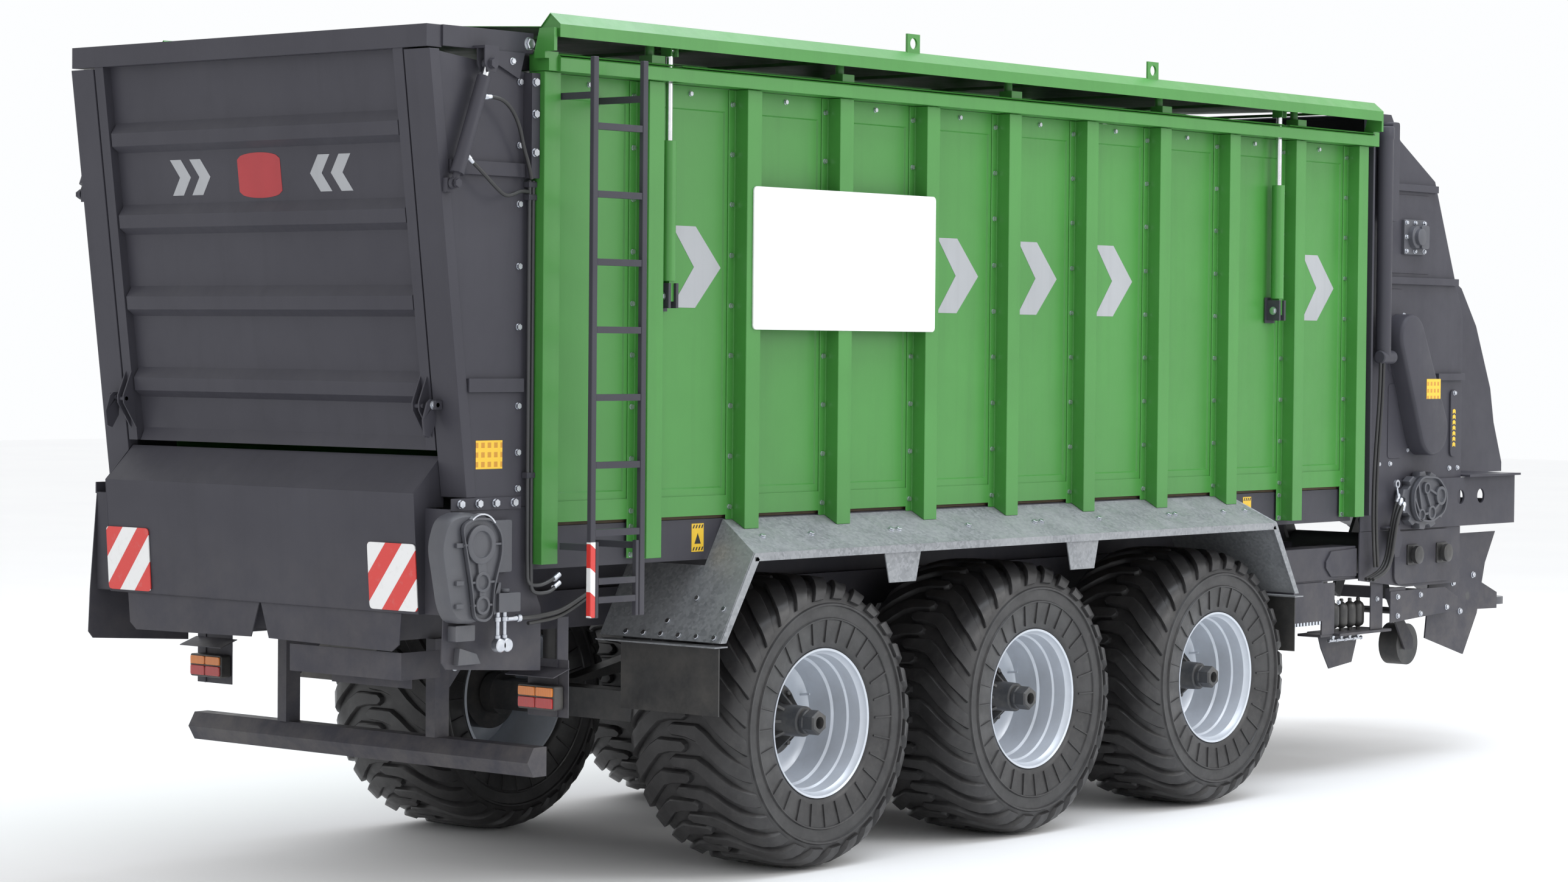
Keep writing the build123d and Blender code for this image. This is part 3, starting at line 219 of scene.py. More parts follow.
def planks():
    """Boards with grain along the trailer, in dark tones that are partly painted shade for the floor's shaded
    edge.
    """
    material, tree, shader, place = start_material("plank_look", specular=0.3)
    along = add_node(tree, "Mapping", {"Vector": place, "Scale": (1.2, 26.0, 26.0)}).outputs[0]
    grain = ramp(tree, noise(tree, along, 1.0, 7.0, 0.65), 0.34, 0.68)
    # Dark wood tones: real grain, darkened further as painted shade along the floor's edge.
    colour = mix_colours(tree, grain, (0.10, 0.070, 0.042), (0.055, 0.038, 0.024))
    finish_surface(tree, shader, place, colour, (0.6, 0.8), 60.0, 0.001)
    return material


def striped(name, across, period, first, second):
    """Even slanting bands; across is the direction over the bands, one number for each axis."""
    material, tree, shader, place = start_material(name, coat=0.2)
    split = add_node(tree, "SeparateXYZ", {"Vector": place})
    total = None
    for index, share in enumerate(across):
        if share:
            term = math_node(tree, "MULTIPLY", split.outputs[index], share / period)
            total = term if total is None else math_node(tree, "ADD", total, term)
    phase = math_node(tree, "FRACT", total)
    band = math_node(tree, "GREATER_THAN", phase, 0.5)
    colour = mix_colours(tree, band, first, second)
    worn = ramp(tree, noise(tree, place, 30.0, 6.0, 0.7), 0.55, 0.72, 0.0, 0.18)
    colour = mix_colours(tree, worn, colour, (0.35, 0.33, 0.31))
    finish_surface(tree, shader, place, colour, (0.3, 0.45), 500.0, 0.0001)
    return material


def label():
    """Yellow plate with a plain grid of darker cells."""
    material, tree, shader, place = start_material("yellow_label_look", coat=0.2)
    split = add_node(tree, "SeparateXYZ", {"Vector": place})
    cells = None
    for output, period in ((split.outputs[0], 0.040), (split.outputs[2], 0.042)):
        phase = math_node(tree, "FRACT", math_node(tree, "MULTIPLY", output, 1 / period))
        inside = math_node(tree, "MULTIPLY", math_node(tree, "GREATER_THAN", phase, 0.22),
                           math_node(tree, "LESS_THAN", phase, 0.78))
        cells = inside if cells is None else math_node(tree, "MULTIPLY", cells, inside)
    colour = mix_colours(tree, cells, (0.80, 0.50, 0.03), (0.55, 0.25, 0.015))
    finish_surface(tree, shader, place, colour, (0.35, 0.5), 400.0, 0.0001)
    return material


def lens(name, base, shade):
    """Lamp glass with close upright prisms."""
    material, tree, shader, place = start_material(name, coat=0.6)
    shader.inputs["Transmission Weight"].default_value = 0.15
    ribs = add_node(tree, "TexWave", {"Vector": place, "Scale": 60.0, "Distortion": 0.0},
                    wave_type="BANDS", bands_direction="Y").outputs[1]
    colour = mix_colours(tree, ribs, base, shade)
    tree.links.new(colour, shader.inputs["Base Color"])
    shader.inputs["Roughness"].default_value = 0.12
    bump = add_node(tree, "Bump", {"Height": ribs, "Strength": 0.4, "Distance": 0.001})
    tree.links.new(bump.outputs[0], shader.inputs["Normal"])
    return material


GREEN = (paint("green_paint_look", (0.056, 0.246, 0.044), (0.048, 0.214, 0.037), (0.32, 0.46)), "green_paint")
# The wall paint carries painted shade: near-black on its inner faces, inside the body.
WALL = (paint("wall_paint_look", (0.056, 0.246, 0.044), (0.048, 0.214, 0.037), (0.32, 0.46),
              painted_shade_within=WALL_OUT - 0.012), "green_paint")
GREY = (paint("grey_paint_look", (0.057, 0.056, 0.068), (0.048, 0.047, 0.058), (0.36, 0.52),
              coat=0.0, specular=0.2), "grey_paint")
CAST = (paint("cast_paint_look", (0.085, 0.087, 0.100), (0.066, 0.068, 0.080), (0.42, 0.6),
              grain_scale=180.0, grain_height=0.0016), "cast_grey")
DARK_STEEL = (paint("dark_steel_look", (0.045, 0.046, 0.050), (0.030, 0.031, 0.034), (0.4, 0.6)), "cast_grey")
CHROME = (bare_metal("chrome_look", (0.80, 0.81, 0.83), (0.70, 0.71, 0.74), (0.12, 0.22)), "chrome_rod")
ZINC = (bare_metal("zinc_look", (0.62, 0.64, 0.68), (0.48, 0.50, 0.55), (0.28, 0.46)), "zinc")
HOSE = (paint("hose_rubber_look", (0.020, 0.020, 0.021), (0.030, 0.030, 0.031), (0.42, 0.6), coat=0.0),
        "hose_rubber")
BLACK = (paint("black_plastic_look", (0.018, 0.018, 0.019), (0.026, 0.026, 0.027), (0.35, 0.55)),
         "lamp_black")
FLAP = (paint("flap_rubber_look", (0.022, 0.022, 0.023), (0.034, 0.034, 0.034), (0.5, 0.7), coat=0.0),
        "hose_rubber")
TYRE = (rubber(), "tyre_rubber")
RIM = (paint("rim_silver_look", (0.66, 0.70, 0.76), (0.56, 0.60, 0.67), (0.28, 0.42), metallic=0.25,
             dust_share=0.12), "rim_silver")
FENDER = (galvanised(), "grey_paint")
WOOD = (planks(), "plank_wood")
WHITE = (paint("white_plate_look", (0.86, 0.86, 0.86), (0.82, 0.82, 0.83), (0.25, 0.35), dust_share=0.02),
         "white_plate")
CHEVRON = (paint("chevron_film_look", (0.38, 0.39, 0.41), (0.34, 0.35, 0.37), (0.35, 0.5)), "white_plate")
RED_FILM = (paint("red_film_look", (0.42, 0.022, 0.028), (0.33, 0.016, 0.022), (0.35, 0.5)), "red_lens")
BOARD = (striped("warning_board_look", (0.0, 0.72, 0.60), 0.150, (0.62, 0.035, 0.028), (0.78, 0.78, 0.78)),
         "striped_board")
STRIP = (striped("warning_strip_look", (0.55, 0.0, 0.80), 0.170, (0.62, 0.035, 0.028), (0.80, 0.80, 0.80)),
         "striped_board")
YELLOW = (label(), "striped_board")
YELLOW_PLAIN = (paint("yellow_plain_look", (0.80, 0.52, 0.03), (0.74, 0.45, 0.03), (0.35, 0.5)),
                "striped_board")
RED_GLASS = (lens("red_lens_look", (0.55, 0.02, 0.015), (0.35, 0.01, 0.01)), "red_lens")
AMBER_GLASS = (lens("amber_lens_look", (0.85, 0.26, 0.02), (0.6, 0.15, 0.01)), "amber_lens")


# ------------------------------------------------------------------ mesh building
def rounded(points, radius, steps=4):
    """The outline with its corners rounded by short arcs."""
    count = len(points)
    outline = []
    for index, point in enumerate(points):
        here = Vector(point)
        before, after = Vector(points[index - 1]) - here, Vector(points[(index + 1) % count]) - here
        reach = min(radius, before.length * 0.45, after.length * 0.45)
        start, end = here + before.normalized() * reach, here + after.normalized() * reach
        for step in range(steps + 1):
            t = step / steps
            outline.append(tuple(start.lerp(here, t).lerp(here.lerp(end, t), t)))
    return outline


def rect(left, right, low, high):
    """The outline of an upright rectangle."""
    return [(left, low), (right, low), (right, high), (left, high)]


class Piece:
    """One visible mesh, built in stations and set in place when it is done."""

    def __init__(self):
        self.bm = bmesh.new()

    def loft(self, rings, closed=False):
        """Faces between rings of points; closed joins the last ring to the first."""
        rows = [[self.bm.verts.new(point) for point in ring] for ring in rings]
        pairs = list(zip(rows, rows[1:])) + ([(rows[-1], rows[0])] if closed else [])
        for first, second in pairs:
            for i in range(len(first)):
                j = (i + 1) % len(first)
                self.bm.faces.new((first[i], first[j], second[j], second[i]))
        if not closed:
            self.bm.faces.new(rows[0][::-1])
            self.bm.faces.new(rows[-1])
        return self

    def prism(self, outline, low, high, axis="y", edge=0.0):
        """An outline extruded along an axis, with chamfered ends if edge is given."""
        middle = sum((Vector(p) for p in outline), Vector((0, 0))) / len(outline)

        def ring(at, inset):
            points = []
            for p in outline:
                a, b = Vector(p) - (Vector(p) - middle).normalized() * inset
                points.append({"x": (at, a, b), "y": (a, at, b), "z": (a, b, at)}[axis])
            return points
        levels = [(low, 0.0), (high, 0.0)]
        if edge:
            levels = [(low, edge), (low + edge, 0.0), (high - edge, 0.0), (high, edge)]
        return self.loft([ring(at, inset) for at, inset in levels])

    @staticmethod
    def circles(origin, direction, profile, sides):
        """Rings of points about a direction, one for each (distance, radius) of the profile."""
        turn = Vector((0, 0, 1)).rotation_difference(Vector(direction).normalized()).to_matrix()
        return [[Vector(origin) + turn @ Vector((radius * math.cos(FULL_TURN * i / sides),
                                                 radius * math.sin(FULL_TURN * i / sides),
                                                 distance)) for i in range(sides)]
                for distance, radius in profile]

    def turned(self, origin, direction, profile, sides=28):
        """A round or many-sided shape; the profile lists (distance, radius) along the direction."""
        return self.loft(self.circles(origin, direction, profile, sides))

    def ring(self, origin, direction, profile, sides=64):
        """A hollow turned shape; its profile is a closed loop of (distance, radius)."""
        return self.loft(self.circles(origin, direction, profile, sides), closed=True)

    def rod(self, start, end, radius, sides=20):
        """A round bar with a small chamfer at both ends."""
        span = Vector(end) - Vector(start)
        edge = min(radius * 0.15, span.length * 0.2)
        return self.turned(start, span, [(0, radius - edge), (edge, radius), (span.length - edge, radius),
                                         (span.length, radius - edge)], sides)

    def bolt(self, place, direction, across=0.030, height=0.016, washer=True):
        """A hexagon head with its washer."""
        if washer:
            self.turned(place, direction, [(-0.002, across * 0.68), (height * 0.18, across * 0.68),
                                           (height * 0.22, across * 0.64)], 20)
        reach = across / math.sqrt(3)
        return self.turned(place, direction, [(-0.001, reach), (height * 0.82, reach),
                                              (height, reach * 0.82)], 6)

    def mirror(self):
        """Adds the left-hand copy of everything so far."""
        copies = bmesh.ops.duplicate(self.bm, geom=self.bm.verts[:] + self.bm.edges[:] + self.bm.faces[:])
        for item in copies["geom"]:
            if isinstance(item, bmesh.types.BMVert):
                item.co.y = -item.co.y
        return self

    def done(self, name, finish, body="trailer", replaces=(), bevel=0.0, angle=38, place=None):
        """Makes the object, in its finish, on its body; place sets it about a wheel's centre instead."""
        bmesh.ops.recalc_face_normals(self.bm, faces=self.bm.faces[:])
        mesh = bpy.data.meshes.new(name)
        self.bm.to_mesh(mesh)
        self.bm.free()
        if place is None:
            mesh.transform(Matrix.Translation((REAR_EDGE, 0, DATUM)))
        mesh.polygons.foreach_set("use_smooth", [True] * len(mesh.polygons))
        mesh.set_sharp_from_angle(angle=math.radians(angle))
        return add_object(name, mesh, finish, body, replaces, bevel, place)


def add_object(name, mesh, finish, body, replaces=(), bevel=0.0, place=None):
    """A mesh as an object on its body, with its finish and any bevel."""
    thing = new_object(name, mesh)
    if not mesh.materials:
        mesh.materials.append(finish[0])
    if place is not None:
        thing.matrix_world = place
    if bevel:
        ease_edges(thing, bevel, 40)
    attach(thing, body)
    if replaces:
        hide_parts(*replaces)
    return thing


def line(name, route, radius, finish=HOSE):
    """A hose or pipe along a smooth curve through its route."""
    curve = bpy.data.curves.new(name, "CURVE")
    curve.dimensions = "3D"
    spline = curve.splines.new("NURBS")
    spline.points.add(len(route) - 1)
    for point, (x, y, z) in zip(spline.points, route):
        point.co = (REAR_EDGE + x, y, DATUM + z, 1.0)
    spline.order_u = 3
    spline.use_endpoint_u = True
    curve.resolution_u = 10
    curve.bevel_depth = radius
    curve.bevel_resolution = 4
    curve.use_fill_caps = True
    thing = new_object(name, curve)
    curve.materials.append(finish[0])
    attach(thing, "trailer")
    return thing


# ------------------------------------------------------------------ camera, floor and light
def camera():
    """The photograph's view: place, heading, tilt and focal length."""
    yaw, pitch, roll = 0.874, -0.0264, 0.009
    data = bpy.data.cameras.new("photo_camera")
    data.sensor_width = 36.0
    data.lens = 83.45
    data.clip_end = 200.0
    forward = Vector((math.sin(yaw) * math.cos(pitch), math.cos(yaw) * math.cos(pitch), math.sin(pitch)))
    level = Vector((math.cos(yaw), -math.sin(yaw), 0))
    upward = level.cross(forward)
    right = math.cos(roll) * level + math.sin(roll) * upward
    up = math.cos(roll) * upward - math.sin(roll) * level
    turn = Matrix((right, up, -forward)).transposed().to_4x4()
    view = new_object("photo_camera", data)
    view.matrix_world = Matrix.Translation((REAR_EDGE - 11.646, -12.408, DATUM + 2.480)) @ turn
    bpy.context.scene.camera = view


def floor():
    """A wide, flat, pale floor."""
    material, tree, shader, place = start_material("floor_look")
    tone = ramp(tree, noise(tree, place, 0.4, 5.0), 0.3, 0.7)
    colour = mix_colours(tree, tone, (0.96, 0.96, 0.96), (0.94, 0.94, 0.945))
    finish_surface(tree, shader, place, colour, (0.75, 0.9), 30.0, 0.0005)
    half = 60.0
    mesh = bpy.data.meshes.new("floor")
    mesh.from_pydata([(-half, -half, 0), (half, -half, 0), (half, half, 0), (-half, half, 0)], [],
                     [(0, 1, 2, 3)])
    mesh.materials.append(material)
    new_object("floor", mesh)


def lights():
    """A white studio world and four square area lights."""
    world = bpy.data.worlds.new("studio")
    world.use_nodes = True
    world.node_tree.nodes["Background"].inputs[0].default_value = (0.98, 0.99, 1.0, 1.0)
    world.node_tree.nodes["Background"].inputs[1].default_value = 1.0
    bpy.context.scene.world = world
    bpy.context.scene.view_settings.view_transform = "Standard"
    for name, place, aim, size, power, tint in (
            ("overhead", (0, -2.0, 11.0), (0, 0, 1.5), 9.0, 900, (0.84, 0.91, 1.0)),
            ("side", (3.0, -13.0, 8.0), (0, 0, 1.8), 7.0, 520, (1.0, 0.99, 0.97)),
            ("rear", (-15.0, -3.0, 7.0), (-4.0, 0, 1.8), 6.0, 40, (1.0, 1.0, 1.0)),
            ("front", (15.0, 6.0, 7.0), (3.0, 0, 1.8), 8.0, 160, (1.0, 1.0, 1.0))):
        data = bpy.data.lights.new(name, "AREA")
        data.shape = "SQUARE"
        data.size = size
        data.energy = power
        data.color = tint
        lamp = new_object(name, data)
        lamp.location = place
        lamp.rotation_euler = (Vector(aim) - Vector(place)).to_track_quat("-Z", "Y").to_euler()


# ------------------------------------------------------------------ carried-over CAD nodes
EASED_EDGES = (("top_rails", 0.007), ("side_posts", 0.003), ("ladder_frame", 0.003), ("ladder_step", 0.003),
               ("tailgate_frame", 0.003), ("tailgate_panel", 0.003), ("rear_hood", 0.002),
               ("rear_cheeks", 0.002), ("rear_underframe", 0.003), ("intake_sides", 0.002),
               ("chassis_frame", 0.002), ("hydraulic_rack", 0.003), ("fenders", 0.0015),
               ("pickup_frame", 0.002), ("sign_plate", 0.003), ("latch_hooks", 0.002))


def dress_cad_nodes():
    """Each CAD node that stays visible takes its finish, and its sheet edges are eased a little."""
    finishes = {
        WALL: ("side_walls",),
        GREEN: ("side_posts", "top_rails", "roof_cover_right", "roof_cover_left",
                "cover_barrels_right", "cover_barrels_left"),
        GREY: ("chassis_frame", "ladder_frame", "ladder_step", "rear_cheeks", "rear_hood", "rear_underframe",
               "tailgate_panel", "tailgate_frame", "lift_barrels", "latch_hooks", "intake_sides",
               "intake_front", "chain_cover", "hydraulic_rack", "pickup_frame", "drawbar", "lamp_housings",
               "pivot_pins"),
        CAST: ("feed_gearbox", "scraper_gearbox", "coupling"),
        DARK_STEEL: ("axles", "scraper_slats", "scraper_shaft", "rotor", "pickup_reel", "gauge_wheels"),
        FENDER: ("fenders",),
        FLAP: ("mud_flaps",),
        BLACK: ("hub_caps", "accumulators"),
        CHROME: ("lift_rods", "cover_rods_right", "cover_rods_left"),
        ZINC: ("body_bolts",),
        WHITE: ("sign_plate",),
        BOARD: ("warning_boards",),
        RED_GLASS: ("red_lenses",),
        AMBER_GLASS: ("amber_lenses",),
        WOOD: ("body_floor",),
        HOSE: ("hydraulic_lines",),
    }
    for (material, _), names in finishes.items():
        for name in names:
            clothe(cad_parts[name].data, material)
    for name, width in EASED_EDGES:
        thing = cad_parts[name]
        thing.modifiers.new("joined", "WELD").merge_threshold = 0.00005
        ease_edges(thing, width, 50)
    for side in ("right", "left"):
        for axle in AXLES:
            for kind, finish in (("tyre", TYRE), ("wheel", RIM)):
                clothe(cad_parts[f"{kind}_{axle}_{side}"].data, finish[0])


# ------------------------------------------------------------------ tyres and wheels
LUGS = 28
RIBS = 28
# Along one tread lug, from its tip past the tread's middle to its end on the shoulder: top (across,
# radius), base (across, radius), lag in degrees, half width in degrees.
LUG_PATH = (
    ((-0.052, 0.708), (-0.056, 0.678), 0.0, 0.9),
    ((-0.030, 0.710), (-0.030, 0.680), 0.0, 2.35),
    ((0.060, 0.710), (0.060, 0.680), 0.2, 2.6),
    ((0.120, 0.709), (0.120, 0.679), 0.9, 3.3),
    ((0.175, 0.707), (0.175, 0.674), 4.2, 3.9),
    ((0.235, 0.702), (0.230, 0.668), 8.6, 4.1),
    ((0.285, 0.690), (0.272, 0.656), 12.2, 4.1),
    ((0.324, 0.668), (0.302, 0.638), 15.2, 4.0),
    ((0.345, 0.638), (0.320, 0.616), 17.8, 3.9),
    ((0.352, 0.606), (0.330, 0.598), 19.8, 3.7),
)
# Sidewall and shoulder (across, radius) from the bead to the tread's middle, with two raised rings.
SIDEWALL = ((0.292, 0.353), (0.314, 0.369), (0.324, 0.389), (0.338, 0.499), (0.345, 0.502), (0.347, 0.508),
            (0.339, 0.513), (0.342, 0.566), (0.352, 0.570), (0.353, 0.579), (0.344, 0.584), (0.334, 0.612),
            (0.318, 0.640), (0.284, 0.660), (0.225, 0.676), (0.110, 0.684))
RIM_INSIDE = ((0.315, 0.361), (0.311, 0.351), (0.292, 0.345), (0.280, 0.334), (0.214, 0.330), (0.206, 0.321),
              (0.128, 0.317), (0.118, 0.306), (0.020, 0.301), (-0.006, 0.290), (-0.110, 0.290),
              (-0.200, 0.316), (-0.290, 0.334), (-0.315, 0.349))


def wheel_place(node):
    """Where a wheel's centre is."""
    low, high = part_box(node)
    return Matrix.Translation((low + high) / 2)


def tyre_mesh(side):
    """Wide flotation tyre: carcass with raised sidewall rings, radial ribs, and curved lugs on each half."""
    piece = Piece()
    mirrored = [(-across, radius) for across, radius in reversed(SIDEWALL)]
    inside = [(-0.26, 0.355), (-0.29, 0.40), (-0.30, 0.57), (-0.20, 0.640), (0.20, 0.640), (0.30, 0.57),
              (0.29, 0.40), (0.26, 0.355)]
    piece.ring((0, 0, 0), (0, side, 0), list(SIDEWALL) + mirrored + inside, 112)

    def point(across, radius, degrees):
        turn = math.radians(degrees)
        return (radius * math.cos(turn), side * across, radius * math.sin(turn))
    for half in (1, -1):
        for lug in range(LUGS):
            start = 360 / LUGS * (lug + (0.5 if half < 0 else 0.0))
            rings = []
            for (top, top_r), (base, base_r), lag, width in LUG_PATH:
                middle = start + lag
                edge, edge_r = top + (base - top) * 0.2, top_r + (base_r - top_r) * 0.2
                rings.append([point(half * base, base_r, middle - width - 0.5),
                              point(half * edge, edge_r, middle - width),
                              point(half * top, top_r, middle - width + 0.5),
                              point(half * top, top_r, middle + width - 0.5),
                              point(half * edge, edge_r, middle + width),
                              point(half * base, base_r, middle + width + 0.5)])
            piece.loft(rings)
        for rib in range(RIBS):
            middle = 360 / RIBS * rib
            low, high = (0.324, 0.391), (0.337, 0.501)
            rings = []
            for across, radius in (low, high):
                wide = math.degrees(0.0035 / radius)
                rings.append([point(half * (across - 0.004), radius, middle - wide * 1.6),
                              point(half * (across + 0.0075), radius, middle - wide),
                              point(half * (across + 0.0075), radius, middle + wide),
                              point(half * (across - 0.004), radius, middle + wide * 1.6)])
            piece.loft(rings)
    return piece


def rim_piece(side):
    """Deep stepped rim with a rolled lip, its disc, and the valve."""
    piece = Piece()
    out = (0, side, 0)
    outside = [(-0.300, 0.356), (-0.280, 0.342), (-0.200, 0.326), (-0.110, 0.300), (0.020, 0.311),
               (0.110, 0.316), (0.200, 0.331), (0.270, 0.342), (0.290, 0.350)]
    piece.ring((0, 0, 0), out, [(0.312, 0.3627)] + list(RIM_INSIDE) + [(-0.312, 0.3627)] + outside, 96)
    disc = [(-0.004, 0.292), (-0.016, 0.275), (-0.022, 0.230), (-0.018, 0.165), (-0.030, 0.165),
            (-0.034, 0.230), (-0.028, 0.280), (-0.016, 0.298)]
    piece.ring((0, 0, 0), out, disc, 96)
    piece.rod((0.235, side * -0.02, 0.10), (0.245, side * 0.035, 0.105), 0.006, 12)
    return piece


def hub_piece(side):
    """Dark hub: flange with nuts, eight webs, a tube, and a hexagon nut with a bore."""
    piece = Piece()
    out = (0, side, 0)
    piece.turned((0, 0, 0), out, [(-0.15, 0.19), (-0.028, 0.19), (-0.020, 0.182), (0.006, 0.180),
                                  (0.014, 0.172), (0.016, 0.110), (0.030, 0.092), (0.075, 0.079),
                                  (0.205, 0.074), (0.213, 0.068)], 48)
    piece.turned((0, 0, 0), out, [(0.200, 0.060), (0.232, 0.060), (0.238, 0.055)], 32)
    for index in range(8):
        turn = FULL_TURN * index / 8
        flat = Vector((math.cos(turn), 0, math.sin(turn)))
        wide = Vector((-math.sin(turn), 0, math.cos(turn))) * 0.007
        outline = ((0.060, 0.010), (0.168, 0.010), (0.160, 0.026), (0.082, 0.120), (0.060, 0.130))
        rings = [[flat * radius + Vector((0, side * across, 0)) + wide * way for radius, across in outline]
                 for way in (-1, 1)]
        piece.loft(rings)
    for index in range(10):
        turn = FULL_TURN * (index + 0.5) / 10
        piece.bolt((0.150 * math.cos(turn), side * 0.014, 0.150 * math.sin(turn)), out, 0.024, 0.020)
    rings = []
    for across, radius, flats in ((0.228, 0.058, 1), (0.292, 0.058, 1), (0.300, 0.050, 1), (0.3005, 0.030, 0),
                                  (0.262, 0.027, 0), (0.262, 0.004, 0)):
        ring = []
        for i in range(48):
            turn = FULL_TURN * i / 48
            off = (turn + HALF_TURN / 6) % (HALF_TURN / 3) - HALF_TURN / 6
            reach = radius * (0.9 / math.cos(off) if flats else 1.0)
            ring.append((reach * math.cos(turn), side * across, reach * math.sin(turn)))
        rings.append(ring)
    piece.loft(rings)
    return piece


def wheels():
    """Six wheels; each side's three share the meshes of the first."""
    layers = (("tyre_rubber", tyre_mesh, TYRE, "tyre", 32), ("rim_shell", rim_piece, RIM, "wheel", 30),
              ("hub", hub_piece, DARK_STEEL, None, 30))
    for side_name, side in (("right", -1), ("left", 1)):
        shared = {}
        for axle in AXLES:
            where = f"{axle}_{side_name}"
            body = f"wheel_{where}"
            place = wheel_place(body)
            for layer, build, finish, stands_for, angle in layers:
                name = f"{layer}_{where}"
                replaced = (f"{stands_for}_{where}",) if stands_for else ()
                if layer in shared:
                    add_object(name, shared[layer], finish, body, replaced, place=place)
                else:
                    shared[layer] = build(side).done(name, finish, body, replaced, angle=angle,
                                                     place=place).data


# ------------------------------------------------------------------ plates, films and labels
PAN_FACE = -1.176
CHEVRON_X = (0.953, 2.971, 3.661, 4.362, 6.440)


def side_chevrons():
    """Light arrow shapes on the side panels, pointing forward."""
    piece = Piece()
    for x in CHEVRON_X:
        outline = [(x, 3.03), (x + 0.165, 3.03), (x + 0.345, 2.84), (x + 0.165, 2.65), (x, 2.65),
                   (x + 0.155, 2.84)]
        half_low = [outline[4], outline[3], outline[2], outline[5]]
        half_high = [outline[5], outline[2], outline[1], outline[0]]
        for half in (half_low, half_high):
            piece.prism(half, PAN_FACE - DECAL, PAN_FACE + DECAL)
    piece.mirror().done("side_chevrons", CHEVRON)


def on_lean(y, z, lift=0.0):
    """A point on the tailgate's sheet, seen from behind."""
    return (lean_x(z, 0.046) - lift, y, z)


def film(piece, outline, surface, proud=0.0015):
    """A thin film over a surface, a little proud of it and sunk a little into it."""
    piece.loft([[surface(y, z, lift) for y, z in outline] for lift in (proud, -0.001)])


def rear_films():
    """Red barrel-shaped patch in the middle of the tailgate, and double arrows beside it."""
    piece = Piece()
    low, high, half = 3.155, 3.300, 0.143
    outline = []
    for edge, way in ((high, 1), (low, -1)):
        for i in range(13):
            t = -1 + 2 * i / 12
            outline.append((way * t * half, edge + way * 0.030 * (1 - t * t) ** 0.5))
    film(piece, outline, on_lean)
    piece.done("rear_patch", RED_FILM, "tailgate")
    piece = Piece()
    for start in (0.335, 0.470):
        for tip_way in (1, -1):
            for z_out in (3.310, 3.146):
                quad = [(start + 0.135, z_out), (start + 0.060, z_out), (start, 3.228),
                        (start + 0.075, 3.228)]
                film(piece, [(tip_way * y, z) for y, z in quad], on_lean)
    piece.done("rear_arrows", CHEVRON, "tailgate")


def labels():
    """Plain yellow plates with generic cells, and black-ended caution plates without lettering."""
    piece = Piece()
    piece.prism(rect(-0.339, -0.174, 1.925, 2.050), -CHEEK_Y - 0.0015, -CHEEK_Y + 0.001)
    piece.mirror()
    piece.prism(rect(7.650, 7.815, 2.190, 2.310), -1.3115, -1.309)
    piece.done("yellow_labels", YELLOW)
    piece = Piece()
    bars = Piece()
    for x in (1.112, 5.845):
        piece.prism(rect(x, x + 0.085, 1.508, 1.640), -1.1735, -1.171)
        for z in (1.514, 1.618):
            for i in range(4):
                left = x + 0.006 + i * 0.020
                bars.prism([(left, z), (left + 0.009, z), (left + 0.017, z + 0.016),
                            (left + 0.008, z + 0.016)], -1.1742, -1.1725)
        bars.prism([(x + 0.020, 1.545), (x + 0.065, 1.545), (x + 0.0425, 1.595)], -1.1742, -1.1725)
    piece.mirror().done("caution_plates", YELLOW_PLAIN)
    bars.mirror().done("caution_marks", BLACK)


def fender_slope(y, z, lift=0.0):
    """A point on the fender's rear sloping face, lifted outwards."""
    return (1.0 + 0.59 * (z - 1.1) - lift, y, z + lift * 0.59)


def strips():
    """Striped reflecting strips on the fender's rear edge and the ladder's foot."""
    piece = Piece()
    film(piece, rect(-1.442, -1.395, 1.125, 1.440), fender_slope, 0.002)
    piece.mirror().done("fender_strips", STRIP)
    piece = Piece()
    piece.prism(rect(0.1110, 0.1410, 1.266, 1.600), -1.4622, -1.4610)
    piece.prism(rect(-1.4610, -1.4390, 1.266, 1.600), 0.1085, 0.1105, axis="x")
    piece.done("ladder_strip", STRIP)


def warning_boards():
    """Thin striped boards with rounded corners on the hood."""
    piece = Piece()
    outline = rounded(rect(-1.038, -0.737, 1.302, 1.598), 0.022)

    def ring(depth):
        return [(-0.560 + (35 / 530) * (1.820 - z) + depth, y, z) for y, z in outline]
    piece.loft([ring(-0.0115), ring(-0.0065)])
    piece.mirror().done("striped_boards", BOARD, replaces=("warning_boards",))


# ------------------------------------------------------------------ castings and drives
def wall_ring(piece, outline, thickness, low, high):
    """A raised wall that follows an outline, open in the middle."""
    middle = sum((Vector(p) for p in outline), Vector((0, 0))) / len(outline)
    inner = [tuple(Vector(p) - (Vector(p) - middle).normalized() * thickness) for p in outline]
    levels = ((low, outline), (high, outline), (high, inner), (low, inner))
    piece.loft([[(x, y, z) for x, z in ring] for y, ring in levels], closed=True)


def casting(piece, outline, face, depth, bosses, ribs):
    """Cast front: a sunk floor inside a raised wall, ringed bosses and straight ribs; face is outermost."""
    wall_ring(piece, outline, 0.011, face + depth, face)
    piece.prism(outline, face + depth * 0.55, face + depth)
    for x, z, radius in bosses:
        piece.turned((x, face + depth, z), OUTWARD, [
            (0.0, radius), (depth - 0.002, radius), (depth, radius * 0.95), (depth, radius * 0.70),
            (depth * 0.62, radius * 0.64), (depth * 0.62, radius * 0.1)], 40)
    for (x0, z0), (x1, z1), width in ribs:
        along = Vector((x1 - x0, z1 - z0)).normalized()
        across = Vector((-along.y, along.x)) * width / 2
        quad = [(x0 + across.x, z0 + across.y), (x1 + across.x, z1 + across.y),
                (x1 - across.x, z1 - across.y), (x0 - across.x, z0 - across.y)]
        piece.prism(quad, face + 0.003, face + depth)


